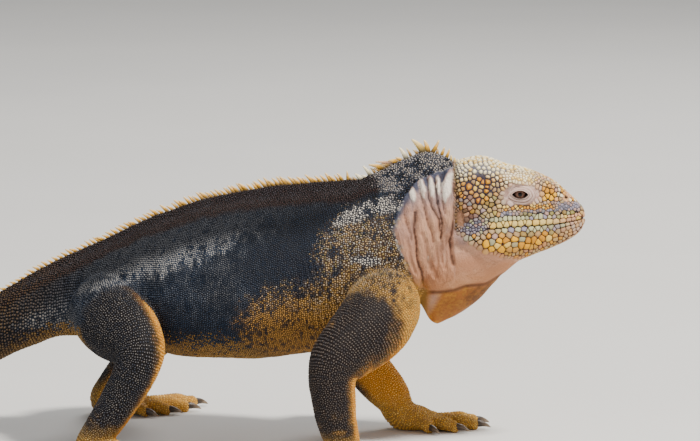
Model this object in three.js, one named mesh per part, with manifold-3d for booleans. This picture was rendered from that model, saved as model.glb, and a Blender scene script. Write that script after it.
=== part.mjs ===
// A Galapagos land iguana, life size, standing with its forequarters raised and its tail on the ground.
// Millimetres, +Z up. The head faces +X and +Y is the animal's left side. The origin is at the middle of
// the bounding box, on the floor.
// The sizes below are set out in the animal's own frame, where x is 0 between the shoulders, y is 0 in the
// middle of the head and z is 0 on the floor. The group at the end moves that frame to the origin.
import * as THREE from "three";
import { mergeVertices } from "three/addons/utils/BufferGeometryUtils.js";
import Module from "manifold-3d";

const wasm = await Module();
wasm.setup();

// Gap between nodes that touch, and half of it, left on each side of a plane cut.
const GAP = 0.3;
const HALF_GAP = GAP / 2;
const degrees = THREE.MathUtils.degToRad;

// A smooth curve through [position, value] knots that never overshoots them.
function curve(knots) {
  const n = knots.length;
  const slopes = [];
  for (let i = 0; i < n - 1; i++)
    slopes.push((knots[i + 1][1] - knots[i][1]) / (knots[i + 1][0] - knots[i][0]));
  const tangents = knots.map((_, i) => {
    if (i === 0) return slopes[0];
    if (i === n - 1) return slopes[n - 2];
    const [a, b] = [slopes[i - 1], slopes[i]];
    return a * b <= 0 ? 0 : (2 * a * b) / (a + b);
  });
  return (x) => {
    if (x <= knots[0][0]) return knots[0][1];
    if (x >= knots[n - 1][0]) return knots[n - 1][1];
    let i = 0;
    while (x > knots[i + 1][0]) i++;
    const h = knots[i + 1][0] - knots[i][0];
    const t = (x - knots[i][0]) / h;
    const [p, q] = [knots[i][1], knots[i + 1][1]];
    const [a, b] = [tangents[i] * h, tangents[i + 1] * h];
    return p + t * (a + t * (3 * (q - p) - 2 * a - b + t * (a + b - 2 * (q - p))));
  };
}

const smooth = THREE.MathUtils.smoothstep;
const signedPower = (v, p) => Math.sign(v) * Math.abs(v) ** p;
const range = (n) => Array.from({ length: n }, (_, i) => i);
const steps = (from, to, count) => range(count + 1).map((i) => from + ((to - from) * i) / count);
const v = (x, y, z) => new THREE.Vector3(x, y, z);

// Solids

function solidOf(geometry) {
  for (const name of ["normal", "uv"]) geometry.deleteAttribute(name);
  const merged = mergeVertices(geometry, 1e-4);
  const triVerts = new Uint32Array(merged.index.array);
  const vertProperties = merged.attributes.position.array;
  const made = new wasm.Manifold(new wasm.Mesh({ numProp: 3, vertProperties, triVerts }));
  if (made.volume() > 0) return made;
  for (let i = 0; i < triVerts.length; i += 3)
    [triVerts[i + 1], triVerts[i + 2]] = [triVerts[i + 2], triVerts[i + 1]];
  return new wasm.Manifold(new wasm.Mesh({ numProp: 3, vertProperties, triVerts }));
}

function geometryOf(solid) {
  const { vertProperties, triVerts, numProp } = solid.getMesh();
  const count = vertProperties.length / numProp;
  const position = new Float32Array(count * 3);
  for (let i = 0; i < count; i++)
    position.set(vertProperties.subarray(i * numProp, i * numProp + 3), i * 3);
  return new THREE.BufferGeometry()
    .setAttribute("position", new THREE.BufferAttribute(position, 3))
    .setIndex(new THREE.BufferAttribute(triVerts, 1));
}

// A closed skin over rings of equal length. Each end is a fan about its middle, or about its first point
// where the ring is small.
const SMALL_RING = 8;
function loft(rings) {
  const sides = rings[0].length;
  const middle = (ring) =>
    ring.reduce((sum, p) => sum.add(p), new THREE.Vector3()).divideScalar(ring.length);
  const small = sides <= SMALL_RING;
  const points = small ? rings.flat() : rings.flat().concat([middle(rings[0]), middle(rings.at(-1))]);
  const index = [];
  for (let r = 0; r < rings.length - 1; r++)
    for (let k = 0; k < sides; k++) {
      const a = r * sides + k;
      const b = r * sides + ((k + 1) % sides);
      index.push(a, b, a + sides, b, b + sides, a + sides);
    }
  const end = (rings.length - 1) * sides;
  const [first, last] = small ? [0, end] : [points.length - 2, points.length - 1];
  for (let k = small ? 1 : 0; k < (small ? sides - 1 : sides); k++) {
    const next = (k + 1) % sides;
    index.push(first, next, k);
    index.push(last, end + k, end + next);
  }
  const geometry = new THREE.BufferGeometry().setFromPoints(points).setIndex(index);
  return solidOf(geometry);
}

// What is left of a solid after its unions and cuts: its one largest closed surface.
const largest = (solid) => solid.decompose().sort((a, b) => b.volume() - a.volume())[0];
const union = (solids) => solids.reduce((sum, s) => sum.add(s));
const without = (solid, others) => others.reduce((sum, s) => sum.subtract(s), solid);
const above = (solid, point, normal) => {
  const n = normal.clone().normalize();
  return solid.trimByPlane(n.toArray(), n.dot(point) + HALF_GAP);
};
const UP = new THREE.Vector3(0, 0, 1);
const AHEAD = new THREE.Vector3(1, 0, 0);
const onFloor = (solid) => solid.trimByPlane(UP.toArray(), 0);

// Neck, trunk and tail: one loft along a path that is drawn from above.
// Every curve here runs over the distance back from the nape, where the path starts.

const NAPE_X = 92;
const TAIL_TIP = 850;
const PATH_STEP = 2;
// The path's turn away from straight back, towards the animal's left, in degrees.
const heading = curve([
  [0, 0], [50, 3], [110, 12], [300, 13], [400, 3], [520, -14], [660, -24], [780, -8], [850, 8],
]);
const bodyTop = curve([
  [2, 237], [8, 240.5], [18, 245.5], [30, 248], [43, 243], [59, 238], [76, 229], [84, 224.5], [96, 223.5],
  [134, 219.5], [175, 213.5], [217, 204], [259, 188.5], [301, 168], [335, 152], [364, 137], [400, 115],
  [440, 91], [480, 71], [520, 54], [560, 41.5], [600, 34], [650, 29.5], [700, 25], [760, 18.5], [820, 11],
  [845, 6], [850, 3.2],
]);
const bodyBottom = curve([
  [2, 166], [12, 156], [22, 146], [30, 136], [37, 125], [44, 113], [52, 103], [62, 96], [80, 90], [100, 86],
  [140, 79], [180, 75], [220, 75], [260, 81], [300, 88], [335, 87], [364, 77], [400, 61], [440, 42],
  [480, 26], [520, 12.5], [560, 3], [590, -0.6], [700, -0.6], [850, -0.6],
]);
const bodyWidth = curve([
  [2, 24], [5, 31], [8, 35.5], [14, 37.5], [22, 39], [37, 42], [50, 46], [62, 51], [84, 59], [110, 66],
  [140, 72], [180, 77], [220, 75], [260, 63], [290, 50], [315, 41], [335, 36], [364, 31], [400, 27.5],
  [440, 24.5], [480, 22], [520, 20], [560, 18], [600, 16], [650, 14], [700, 12], [760, 9], [820, 5.6],
  [845, 3], [850, 1.6],
]);
// Height of the widest place, as a share of the height from bottom to top.
const bodyWaist = curve([
  [30, 0.5], [62, 0.46], [96, 0.42], [180, 0.4], [260, 0.42], [335, 0.46], [400, 0.5],
]);
// Squareness of the section above and below the widest place: 2 is an ellipse.
const backSquareness = curve([[2, 2.1], [60, 1.9], [120, 1.75], [260, 1.75], [335, 1.9], [420, 2]]);
const bellySquareness = curve([[2, 2], [60, 2.1], [120, 2.4], [260, 2.4], [335, 2.1], [420, 2]]);
// The fold of skin along the back that carries the crest.
const ridgeHeight = curve([
  [2, 3], [14, 9], [30, 14], [50, 12], [70, 8], [84, 3.5], [96, 5.5], [260, 6], [340, 4], [460, 2],
  [600, 0.8], [850, 0],
]);
const ridgeWidth = curve([[2, 6], [30, 10], [84, 8], [200, 7], [400, 5], [850, 3]]);

const path = [];
{
  let [x, y] = [NAPE_X, 0];
  for (let s = 0; s <= TAIL_TIP; s += PATH_STEP) {
    path.push([s, x, y]);
    x -= Math.cos(degrees(heading(s + PATH_STEP / 2))) * PATH_STEP;
    y += Math.sin(degrees(heading(s + PATH_STEP / 2))) * PATH_STEP;
  }
}
const pathX = curve(path.map(([s, x]) => [s, x]));
const pathY = curve(path.map(([s, , y]) => [s, y]));
const forwardAt = (s) =>
  new THREE.Vector3(Math.cos(degrees(heading(s))), -Math.sin(degrees(heading(s))), 0);
const leftAt = (s) =>
  new THREE.Vector3(Math.sin(degrees(heading(s))), Math.cos(degrees(heading(s))), 0);
const onPath = (s, left, z) =>
  new THREE.Vector3(pathX(s), pathY(s), z).addScaledVector(leftAt(s), left);

// Loose folds of skin that hang down the side of the neck, close behind the head. They swell and fade
// over the folds counted in grow and fade, and between the heights given in low and high.
const FOLD = {
  front: 6, spacing: 5.6, count: 7, depth: 2.4,
  grow: [-0.6, 0.1], fade: [4.5, 7], low: [142, 168], high: [214, 234],
};
function foldRelief(s, z) {
  const phase = (s - FOLD.front) / FOLD.spacing;
  const along = smooth(phase, ...FOLD.grow) * (1 - smooth(phase, ...FOLD.fade));
  const down = smooth(z, ...FOLD.low) * (1 - smooth(z, ...FOLD.high));
  return FOLD.depth * along * down * Math.cos(2 * Math.PI * phase);
}

// A point of the body's skin: turn is 0 at the top of the back and 1 under the belly, on the side given.
function bodyPoint(s, turn, side, extra = 0) {
  const angle = Math.PI * turn;
  const top = bodyTop(s) + extra;
  const bottom = bodyBottom(s) - extra;
  const waist = bottom + (top - bottom) * bodyWaist(s);
  const upper = Math.cos(angle) >= 0;
  const power = 2 / (upper ? backSquareness(s) : bellySquareness(s));
  const ridge = ridgeHeight(s);
  const rise = upper ? top - ridge - waist : waist - bottom;
  const width = bodyWidth(s) + extra;
  const out = width * Math.abs(Math.sin(angle)) ** power;
  const crest = upper ? ridge * Math.exp(-((out / ridgeWidth(s)) ** 2)) : 0;
  const z = waist + rise * signedPower(Math.cos(angle), power) + crest;
  const fold = foldRelief(s, z) * (out / width);
  return onPath(s, side * (out + fold), z);
}

// A ring from its left half: the points from top to bottom, then the same on the right from bottom to top.
const ringOf = (places, point) => {
  const right = places.slice(1, -1).map((place) => point(place, -1)).reverse();
  return places.map((place) => point(place, 1)).concat(right);
};

// Rings have more points near the ridge than under the belly.
const TURN_BIAS = 1.25;
const bodyRing = (s, half, extra) =>
  ringOf(steps(0, 1, half).map((t) => t ** TURN_BIAS), (turn, side) => bodyPoint(s, turn, side, extra));
const bodyLoft = (stations, half, extra) => loft(stations.map((s) => bodyRing(s, half, extra)));

// The neck has a ring at each crest and each valley of its folds. The trunk runs a little way into the
// tail and the tail into the trunk, so that one plane parts them.
const TRUNK = { from: 55, to: 336, lengths: 18, halfSides: 13, overrun: 348 };
const TAIL = { from: 336, lengths: 24, halfSides: 7, overrun: 326 };
const FOLDS_END = FOLD.front + FOLD.spacing * FOLD.count;
const NECK_STATIONS = [2, 3.8].concat(steps(FOLD.front, FOLDS_END, FOLD.count * 2), [49.6]);
const TRUNK_STATIONS = steps(TRUNK.from, TRUNK.to, TRUNK.lengths).concat([TRUNK.overrun]);
const TAIL_STATIONS = [TAIL.overrun].concat(steps(TAIL.from, TAIL_TIP, TAIL.lengths));
const foreLoft = (extra) => bodyLoft(NECK_STATIONS.concat(TRUNK_STATIONS), TRUNK.halfSides, extra);
const rearLoft = (extra) => bodyLoft(TAIL_STATIONS, TAIL.halfSides, extra);

// Head: sections across x, each drawn from the crown to the chin through the same few points.

const SNOUT_X = 192;
const HEAD_REAR_X = 78;
const headTop = curve([
  [78, 236], [94, 240], [106, 242], [112, 241.4], [119, 239], [127, 236], [135, 234.4], [143, 232.8],
  [152, 230.4], [160, 227.2], [168, 222.6], [174, 217.6], [180, 212], [186, 206.6], [190.2, 202],
  [192, 197.5],
]);
const mouthZ = curve([
  [78, 187], [110, 188], [132, 189.2], [149, 189.5], [166, 189.8], [180, 191.3], [192, 193],
]);
const chinZ = curve([
  [78, 170], [100, 163], [115, 159.5], [130, 158.5], [143, 160.4], [152, 164.2], [160, 167], [168, 170.3],
  [176, 173.8], [183, 177.8], [188.5, 182.4], [191, 186.5], [192, 189.5],
]);
// Half-widths at the edge of the crown, the brow, the eye, the lips and the jaw.
const crownWidth = curve([
  [78, 16], [94, 19], [106, 20], [127, 19], [143, 17.6], [152, 14.6], [160, 12.4], [168, 10.2],
  [176, 8.2], [183, 6.2], [188, 4.4], [191, 2.4], [192, 0.9],
]);
const browWidth = curve([
  [78, 23], [94, 27], [106, 27.6], [119, 26.8], [127, 27], [135, 26.8], [143, 24.8], [152, 19.8],
  [160, 16.6], [168, 13.6], [176, 10.8], [183, 8.3], [188, 6], [191, 3.4], [192, 1.2],
]);
const eyeWidth = curve([
  [78, 27], [94, 31], [106, 31], [119, 28.6], [127, 26], [139, 24.4], [148, 22.6], [156, 19.6],
  [164, 16.4], [172, 13.4], [180, 10], [187, 6.9], [191, 3.8], [192, 1.4],
]);
const lipWidth = curve([
  [78, 28], [94, 32], [106, 32.6], [118, 31], [130, 28], [143, 24.2], [155, 20.6], [165, 17.2],
  [174, 13.8], [182, 10.2], [187.5, 7], [191, 3.8], [192, 1.5],
]);
const jawWidth = curve([
  [78, 29], [94, 34], [106, 35], [118, 32], [130, 28], [143, 23.2], [155, 19], [165, 15.4],
  [174, 12], [182, 8.6], [187.5, 5.6], [191, 2.8], [192, 1.1],
]);
const browDrop = curve([[78, 9], [119, 8], [140, 8.5], [156, 6], [176, 3.6], [190, 2], [192, 1]]);
const lipHeight = curve([[110, 6.4], [166, 6], [182, 4.4], [190, 2.6], [192, 1.2]]);
const MOUTH_GROOVE = 1.7;
const MOUTH_CORNER_X = 111;
const mouthGroove = curve([
  [MOUTH_CORNER_X - 4, 0], [MOUTH_CORNER_X + 8, MOUTH_GROOVE], [184, MOUTH_GROOVE], [190, 1], [192, 0.3],
]);

function headSection(x) {
  const [top, mouth, chin] = [headTop(x), mouthZ(x), chinZ(x)];
  const lip = lipWidth(x);
  const jaw = jawWidth(x);
  const groove = mouthGroove(x);
  const lipLine = Math.min(0.9, (top - chin) * 0.05);
  return [
    [0, top],
    [crownWidth(x) * 0.55, top - 0.5],
    [crownWidth(x), top - browDrop(x) * 0.28],
    [browWidth(x), top - browDrop(x)],
    [eyeWidth(x), mouth + lipHeight(x) + (top - browDrop(x) - mouth - lipHeight(x)) * 0.5],
    [lip - 0.4, mouth + lipHeight(x)],
    [lip, mouth + lipLine],
    [lip - groove, mouth],
    [lip - 0.3, mouth - lipLine],
    [jaw, mouth - (mouth - chin) * 0.42],
    [jaw * 0.78, chin + (mouth - chin) * 0.16],
    [jaw * 0.4, chin + (mouth - chin) * 0.03],
    [0, chin],
  ];
}

// A point of the head's skin: place runs from 0 at the crown to 12 at the chin, as headSection lists them.
function headPoint(x, place, side, extra = 0) {
  const section = headSection(x);
  const last = section.length - 1;
  const i = Math.min(last - 1, Math.floor(place));
  const at = (k) => {
    if (k < 0) return [-section[-k][0], section[-k][1]];
    if (k > last) return [-section[2 * last - k][0], section[2 * last - k][1]];
    return section[k];
  };
  const t = place - i;
  const [a, b, c, d] = [at(i - 1), at(i), at(i + 1), at(i + 2)];
  const spline = (j) => {
    const square = 2 * a[j] - 5 * b[j] + 4 * c[j] - d[j];
    const cube = 3 * (b[j] - c[j]) + d[j] - a[j];
    return b[j] + 0.5 * t * (c[j] - a[j] + t * (square + t * cube));
  };
  const middle = (headTop(x) + chinZ(x)) / 2;
  const half = (headTop(x) - chinZ(x)) / 2;
  const [y, z] = [spline(0), spline(1)];
  const spread = 1 + extra / Math.max(half, 1);
  return new THREE.Vector3(x, side * (y + (y > 0.01 ? extra : 0)), middle + (z - middle) * spread);
}

const HEAD_PLACES = [0, 0.7, 1.5, 2.2, 3, 4, 5, 6, 7, 8, 9, 9.7, 10.5, 11.2, 12];
const SNOUT_TIP_STATIONS = [184, 187.4, 189.8, 191.2, SNOUT_X];
const HEAD_STATIONS = steps(HEAD_REAR_X, 148, 9).concat(steps(155, 179, 4), SNOUT_TIP_STATIONS);
const headRing = (x, extra) => ringOf(HEAD_PLACES, (place, side) => headPoint(x, place, side, extra));
const headLoft = (extra) => loft(HEAD_STATIONS.map((x) => headRing(x, extra)));

// Throat pouch, hung under the jaw and the neck.

const POUCH_FRONT_X = 147;
const POUCH_REAR_X = 52;
const pouchBottom = curve([
  [52, 132], [57, 123], [62, 114], [67, 107], [71.5, 104.3], [76, 106], [84, 109.8], [92, 114.3], [100, 120],
  [108, 126.7], [115, 135], [123, 143.2], [131, 150.7], [138, 156.5], [143, 160], [147, 163],
]);
const pouchTop = curve([[52, 150], [62, 170], [80, 186], [110, 184], [130, 176], [140, 170], [147, 166.5]]);
const pouchWidth = curve([
  [52, 16], [60, 25], [72, 31], [90, 32], [104, 29.5], [118, 24], [130, 17.5], [138, 12], [143, 8], [147, 4],
]);
// Squareness below the widest place, where the pouch narrows to a soft keel, and that place's height.
const POUCH_KEEL = 1.45;
const POUCH_WAIST = 0.72;
const POUCH_HALF_SIDES = 6;
const POUCH_LENGTHS = 12;

function pouchRing(x, extra) {
  const top = pouchTop(x);
  const bottom = pouchBottom(x) - extra;
  const waist = bottom + (top - bottom) * POUCH_WAIST;
  return ringOf(steps(0, 1, POUCH_HALF_SIDES), (turn, side) => {
    const angle = Math.PI * turn;
    const upper = Math.cos(angle) >= 0;
    const power = upper ? 1 : 2 / POUCH_KEEL;
    const out = (pouchWidth(x) + extra) * Math.abs(Math.sin(angle)) ** power;
    const rise = upper ? top - waist : waist - bottom;
    return new THREE.Vector3(x, side * out, waist + rise * signedPower(Math.cos(angle), power));
  });
}
const pouchLoft = (extra) =>
  loft(steps(POUCH_REAR_X, POUCH_FRONT_X, POUCH_LENGTHS).map((x) => pouchRing(x, extra)));

// Spines: flat-sided cones that lean back, rooted in the fold of skin along the back.

// Levels of a spine: the share of its length, then the share of its width. Its root lies below them.
const SPINE_ROOT = 2.5;
const LONG_SPINE = { from: 6, sides: 5, levels: [[0.45, 0.72], [1, 0.12]] };
const SHORT_SPINE = { sides: 4, levels: [[1, 0.14]] };
const SPINE_ROOT_WIDTH = 1.15;
const SPINE_THICKNESS = 0.72;
const SPINE_BEND = 1.6;

// A cone bent towards its tip: the point and directions of its root, its size, and how far it leans back.
function spine(base, up, back, { length, width, lean }) {
  const side = new THREE.Vector3().crossVectors(up, back).normalize();
  const { sides, levels } = length > LONG_SPINE.from ? LONG_SPINE : SHORT_SPINE;
  const ring = (height, share) => {
    const bend = lean * length * Math.max(0, height / length) ** SPINE_BEND;
    const centre = base.clone().addScaledVector(up, height).addScaledVector(back, bend);
    return range(sides).map((k) => {
      const angle = (2 * Math.PI * k) / sides;
      const radius = (width * share) / 2;
      return centre.clone()
        .addScaledVector(back, Math.cos(angle) * radius)
        .addScaledVector(side, Math.sin(angle) * radius * SPINE_THICKNESS);
    });
  };
  const shaft = levels.map(([height, share]) => ring(height * length, share));
  return loft([ring(-SPINE_ROOT, SPINE_ROOT_WIDTH), ...shaft]);
}

// A spine on the ridge at the distance s from the nape.
const SPINE_REACH = 3;
function crestSpine(s, size) {
  const behind = bodyPoint(s + SPINE_REACH, 0, 1).sub(bodyPoint(s - SPINE_REACH, 0, 1)).normalize();
  const up = UP.clone().addScaledVector(behind, -UP.dot(behind)).normalize();
  return spine(bodyPoint(s, 0, 1), up, behind, size);
}

// Lengths vary a little from spine to spine, by a rule and not by chance.
const vary = (i, share) => 1 + share * Math.sin(i * 2.4 + 0.7);
const napeSpine = curve([[4, 4.5], [14, 7], [26, 11.5], [40, 9], [52, 11], [62, 12.5], [74, 7.5], [82, 4.5]]);
const napeLean = curve([[4, 0.1], [26, 0.35], [40, 0.1], [52, 0.5], [62, 0.85], [74, 0.4], [82, 0.2]]);
const backSpine = curve([[90, 5], [180, 5.4], [260, 5], [340, 4], [460, 3.2], [600, 2.4], [700, 1.6]]);
const NAPE_SPACING = 6.2;
const BACK_SPACING = 7;
const TAIL_SPACING = 13;
const BACK_LEAN = 0.35;
const NAPE_VARIES = 0.22;
const BACK_VARIES = 0.14;

function napeSpines(from, to) {
  const count = Math.floor((to - from) / NAPE_SPACING);
  return steps(from, to, count).map((s, i) => {
    const length = napeSpine(s) * vary(i, NAPE_VARIES);
    return crestSpine(s, { length, width: 3 + length * 0.22, lean: napeLean(s) });
  });
}
function backSpines(from, to, spacing) {
  const count = Math.floor((to - from) / spacing);
  return steps(from, to, count).map((s, i) => {
    const length = backSpine(s) * vary(i, BACK_VARIES);
    return crestSpine(s, { length, width: 3 + length * 0.12, lean: BACK_LEAN });
  });
}

// Knobs and plates of the head, each a low dome or a bevelled tile sunk into the skin.

function placed(solid, origin, normal, along) {
  const z = normal.clone().normalize();
  const x = along.clone().addScaledVector(z, -along.dot(z)).normalize();
  const y = new THREE.Vector3().crossVectors(z, x);
  const matrix = new THREE.Matrix4().makeBasis(x, y, z).setPosition(origin);
  return solid.transform(matrix.toArray());
}
const CHIN_PLACE = 12;
const NUDGE = { x: 0.4, place: 0.05 };
function headNormal(x, place, side) {
  const ahead = headPoint(x + NUDGE.x, place, side).sub(headPoint(x - NUDGE.x, place, side));
  const lower = headPoint(x, Math.min(CHIN_PLACE, place + NUDGE.place), side);
  const down = lower.sub(headPoint(x, Math.max(0, place - NUDGE.place), side));
  return new THREE.Vector3().crossVectors(ahead, down).multiplyScalar(side).normalize();
}
const onHead = (solid, x, place, side) =>
  placed(solid, headPoint(x, place, side), headNormal(x, place, side), AHEAD);

// A frustum on an outline of half-size 1, sunk into the skin by its root.
const KNOB_ROOT = 1.6;
function frustum(outline, length, width, height, top) {
  const ring = (z, share) =>
    outline.map(([a, b]) => new THREE.Vector3((a * length * share) / 2, (b * width * share) / 2, z));
  return loft([ring(-KNOB_ROOT, 1), ring(height, top)]);
}
const KNOB_OUTLINE = range(5).map((k) => [Math.cos((2 * Math.PI * k) / 5), Math.sin((2 * Math.PI * k) / 5)]);
const PLATE_OUTLINE = [[1, 1], [-1, 1], [-1, -1], [1, -1]];
const dome = (width, height) => frustum(KNOB_OUTLINE, width, width, height, 0.5);
const tile = (length, width, height) => frustum(PLATE_OUTLINE, length, width, height, 0.74);

// Rows of rounded knobs along the crown and over the back of the head, tallest behind the brow.
// A row has a place on the section and the x where it starts and ends.
const KNOB_ROWS = [
  { place: 0.01, from: 94, to: 176 }, { place: 1.1, from: 97, to: 170 }, { place: 2, from: 94, to: 150 },
  { place: 2.75, from: 97, to: 122 }, { place: 3.4, from: 94, to: 118 }, { place: 4.05, from: 98, to: 120 },
];
const KNOB = { spacing: 8.8, width: 6, height: 2.2, lower: [120, 150] };
function crownKnobs() {
  const made = [];
  KNOB_ROWS.forEach(({ place, from, to }, row) => {
    for (const side of row === 0 ? [1] : [1, -1])
      for (let x = from; x < to; x += KNOB.spacing) {
        const ahead = smooth(x, ...KNOB.lower);
        const width = KNOB.width * (1 - 0.22 * ahead) * vary(x + row, 0.1);
        made.push(onHead(dome(width, KNOB.height * (1 - 0.45 * ahead)), x, place, side));
      }
  });
  return made;
}

// Plates along both lips, and a row of larger scales on the jaw below them.
const PLATE = { spacing: 9, length: 7.8, height: 0.9 };
const PLATE_ROWS = [
  { place: 5.5, width: 4.8, from: MOUTH_CORNER_X + 5, to: 184 },
  { place: 8.4, width: 4.2, from: MOUTH_CORNER_X + 3, to: 182 },
];
const JAW_ROW = { place: 9.4, width: 6.4, from: MOUTH_CORNER_X, to: 168 };
function lipPlates(side) {
  const made = [];
  for (const { place, width, from, to } of PLATE_ROWS)
    for (let x = from; x < to; x += PLATE.spacing) {
      const plate = tile(PLATE.length, width * (1 - 0.35 * smooth(x, 150, 185)), PLATE.height);
      made.push(onHead(plate, x, place, side));
    }
  for (let x = JAW_ROW.from; x < JAW_ROW.to; x += PLATE.spacing)
    made.push(onHead(dome(JAW_ROW.width, PLATE.height), x, JAW_ROW.place, side));
  return made;
}

// Eyes: a ball in a socket, behind lids that leave an almond open.

const EYE = { x: 138.4, z: 215.8, y: 18.6, radius: 7.6 };
const LIDS = { length: 14, height: 9.2, depth: 8.2, y: 19.4 };
const EYE_OPENING = { length: 11.6, height: 5.8, depth: 14 };
function ball(centre, radii) {
  const geometry = new THREE.SphereGeometry(1, 12, 8).rotateX(Math.PI / 2);
  return solidOf(geometry.scale(...radii).translate(centre.x, centre.y, centre.z));
}
const eyeball = (side, radius) => ball(v(EYE.x, side * EYE.y, EYE.z), [radius, radius, radius]);
const socket = (side) => eyeball(side, EYE.radius + GAP);
const lids = (side) => ball(v(EYE.x, side * LIDS.y, EYE.z), [LIDS.length, LIDS.depth, LIDS.height]);
function eyeOpening(side) {
  const { length, height, depth } = EYE_OPENING;
  const shape = new THREE.Shape();
  shape.moveTo(-length / 2, 0);
  shape.quadraticCurveTo(0, height, length / 2, 0);
  shape.quadraticCurveTo(0, -height, -length / 2, 0);
  const geometry = new THREE.ExtrudeGeometry(shape, { depth, bevelEnabled: false, curveSegments: 5 });
  const y = side > 0 ? EYE.y + depth : -EYE.y;
  return solidOf(geometry.rotateX(Math.PI / 2).translate(EYE.x, y, EYE.z));
}

// Nostrils and ear drums.

const NOSTRIL = { x: 176.6, place: 3.1, radius: 1.7, rim: 6.2, rimHeight: 1.2, height: 0.9 };
const EAR = { x: 95, place: 5.6, length: 7.5, height: 12, depth: 2.4 };
const nostrilRim = (side) =>
  onHead(dome(NOSTRIL.rim, NOSTRIL.rimHeight), NOSTRIL.x, NOSTRIL.place, side);
function nostrilPit(side) {
  const { x, place, radius, height } = NOSTRIL;
  const centre = headPoint(x, place, side).addScaledVector(headNormal(x, place, side), height);
  return ball(centre, [radius, radius, radius]);
}
const earPit = (side) =>
  ball(headPoint(EAR.x, EAR.place, side), [EAR.length / 2, EAR.depth, EAR.height / 2]);

// Limbs: each a tube along the bones, bent at the joint.

// A tube's radii run along it from 0 to 1, and flatness widens it sideways.
function tube(points, { radii, flatness, lengths, sides }) {
  const bones = new THREE.CatmullRomCurve3(points, false, "centripetal");
  const [radius, flat] = [curve(radii), curve(flatness)];
  const rings = steps(0, 1, lengths).map((t) => {
    const tangent = bones.getTangent(t);
    const across = v(0, 1, 0).addScaledVector(tangent, -tangent.y).normalize();
    const other = new THREE.Vector3().crossVectors(tangent, across);
    return range(sides).map((k) => {
      const angle = (2 * Math.PI * k) / sides;
      return bones.getPoint(t)
        .addScaledVector(across, Math.cos(angle) * radius(t) * flat(t))
        .addScaledVector(other, Math.sin(angle) * radius(t));
    });
  });
  return loft(rings);
}

// A place beside the hips, measured forward along the body, to the left and up from the floor.
const HIP_S = 297;
const hip = (forward, left, z) => onPath(HIP_S, left, z).addScaledVector(forwardAt(HIP_S), forward);

// Joints from the shoulder or hip to the wrist or ankle, and the direction that the toes point, in
// degrees towards the left of straight ahead.
const LIMBS = {
  right_arm: {
    joints: [v(36, -34, 142), v(20, -72, 118), v(-13, -101, 85), v(-12, -105, 52), v(-4, -104, 17)],
    radii: [[0, 33], [0.25, 30], [0.45, 23], [0.55, 19], [0.78, 16], [1, 13]],
    toes: -8, side: -1, fore: true,
  },
  left_arm: {
    joints: [v(34, 34, 140), v(22, 72, 112), v(0, 99, 72), v(22, 97, 43), v(44, 95, 18)],
    radii: [[0, 33], [0.25, 29], [0.45, 22], [0.55, 19], [0.78, 17.5], [1, 14]],
    toes: -3, side: 1, fore: true,
  },
  right_leg: {
    joints: [hip(-8, -26, 122), hip(22, -62, 110), hip(52, -96, 88), hip(36, -103, 50), hip(14, -107, 17)],
    radii: [[0, 34], [0.25, 31], [0.45, 22], [0.55, 18], [0.78, 15], [1, 12.5]],
    toes: -24, side: -1, fore: false,
  },
  left_leg: {
    joints: [hip(-10, 26, 122), hip(6, 62, 108), hip(22, 97, 86), hip(-8, 105, 50), hip(-36, 110, 17)],
    radii: [[0, 34], [0.25, 31], [0.45, 22], [0.55, 18], [0.78, 15], [1, 12.5]],
    toes: 10, side: 1, fore: false,
  },
};
const LIMB_FLATNESS = [[0, 0.9], [0.5, 0.87], [1, 1.05]];
const limbTube = ({ joints, radii }) =>
  tube(joints, { radii, flatness: LIMB_FLATNESS, lengths: 12, sides: 10 });

// The plane that parts a limb at its bend, and the one at the wrist or ankle, each with its way down.
const WRIST_RISE = 5;
function jointPlanes({ joints: [, upper, bend, lower, end] }) {
  const thigh = bend.clone().sub(upper).normalize();
  const shin = lower.clone().sub(bend).normalize();
  const foot = end.clone().sub(lower).normalize();
  return {
    bend: { point: bend, down: thigh.add(shin) },
    wrist: { point: end.clone().addScaledVector(foot, -WRIST_RISE), down: foot },
  };
}

// Hands and feet: a flat palm and five digits with a claw on each. Digit 1 is on the inner side.
// A digit has its spread in degrees, its reach from the wrist and its radius.
const HAND = {
  palm: 26, heel: 14,
  digits: [
    { spread: -46, reach: 33, radius: 5 }, { spread: -20, reach: 50, radius: 5.3 },
    { spread: 0, reach: 64, radius: 5.5 }, { spread: 19, reach: 66, radius: 5.3 },
    { spread: 46, reach: 42, radius: 4.8 },
  ],
};
const FOOT = {
  palm: 36, heel: 13,
  digits: [
    { spread: -38, reach: 40, radius: 5 }, { spread: -17, reach: 56, radius: 5.4 },
    { spread: -2, reach: 72, radius: 5.7 }, { spread: 14, reach: 84, radius: 5.6 },
    { spread: 52, reach: 50, radius: 4.9 },
  ],
};
const PALM_SHAPE = { flatness: [[0, 1], [0.35, 1.2], [0.7, 1.75], [1, 2.1]], lengths: 5, sides: 10 };
const PALM_RADII = [[0.35, 12.8], [0.7, 9.6], [1, 6.8]];
const DIGIT_SHAPE = { flatness: [[0, 1.1], [1, 1]], lengths: 5, sides: 6 };
// Radii along a digit, as shares of its own: it is thick at the knuckles.
const DIGIT_RADII = [[0, 1.08], [0.35, 1], [0.5, 1.12], [0.66, 0.92], [0.82, 1.05], [1, 0.8]];
const CLAW = { length: 10.5, base: 2.9, tip: 0.45, drop: 3.2, rise: 0.4, gap: GAP * 1.6 };
const CLAW_SHAPE = {
  radii: [[0, CLAW.base], [0.5, CLAW.base * 0.68], [1, CLAW.tip]],
  flatness: [[0, 0.72], [1, 0.8]], lengths: 3, sides: 5,
};

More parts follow.
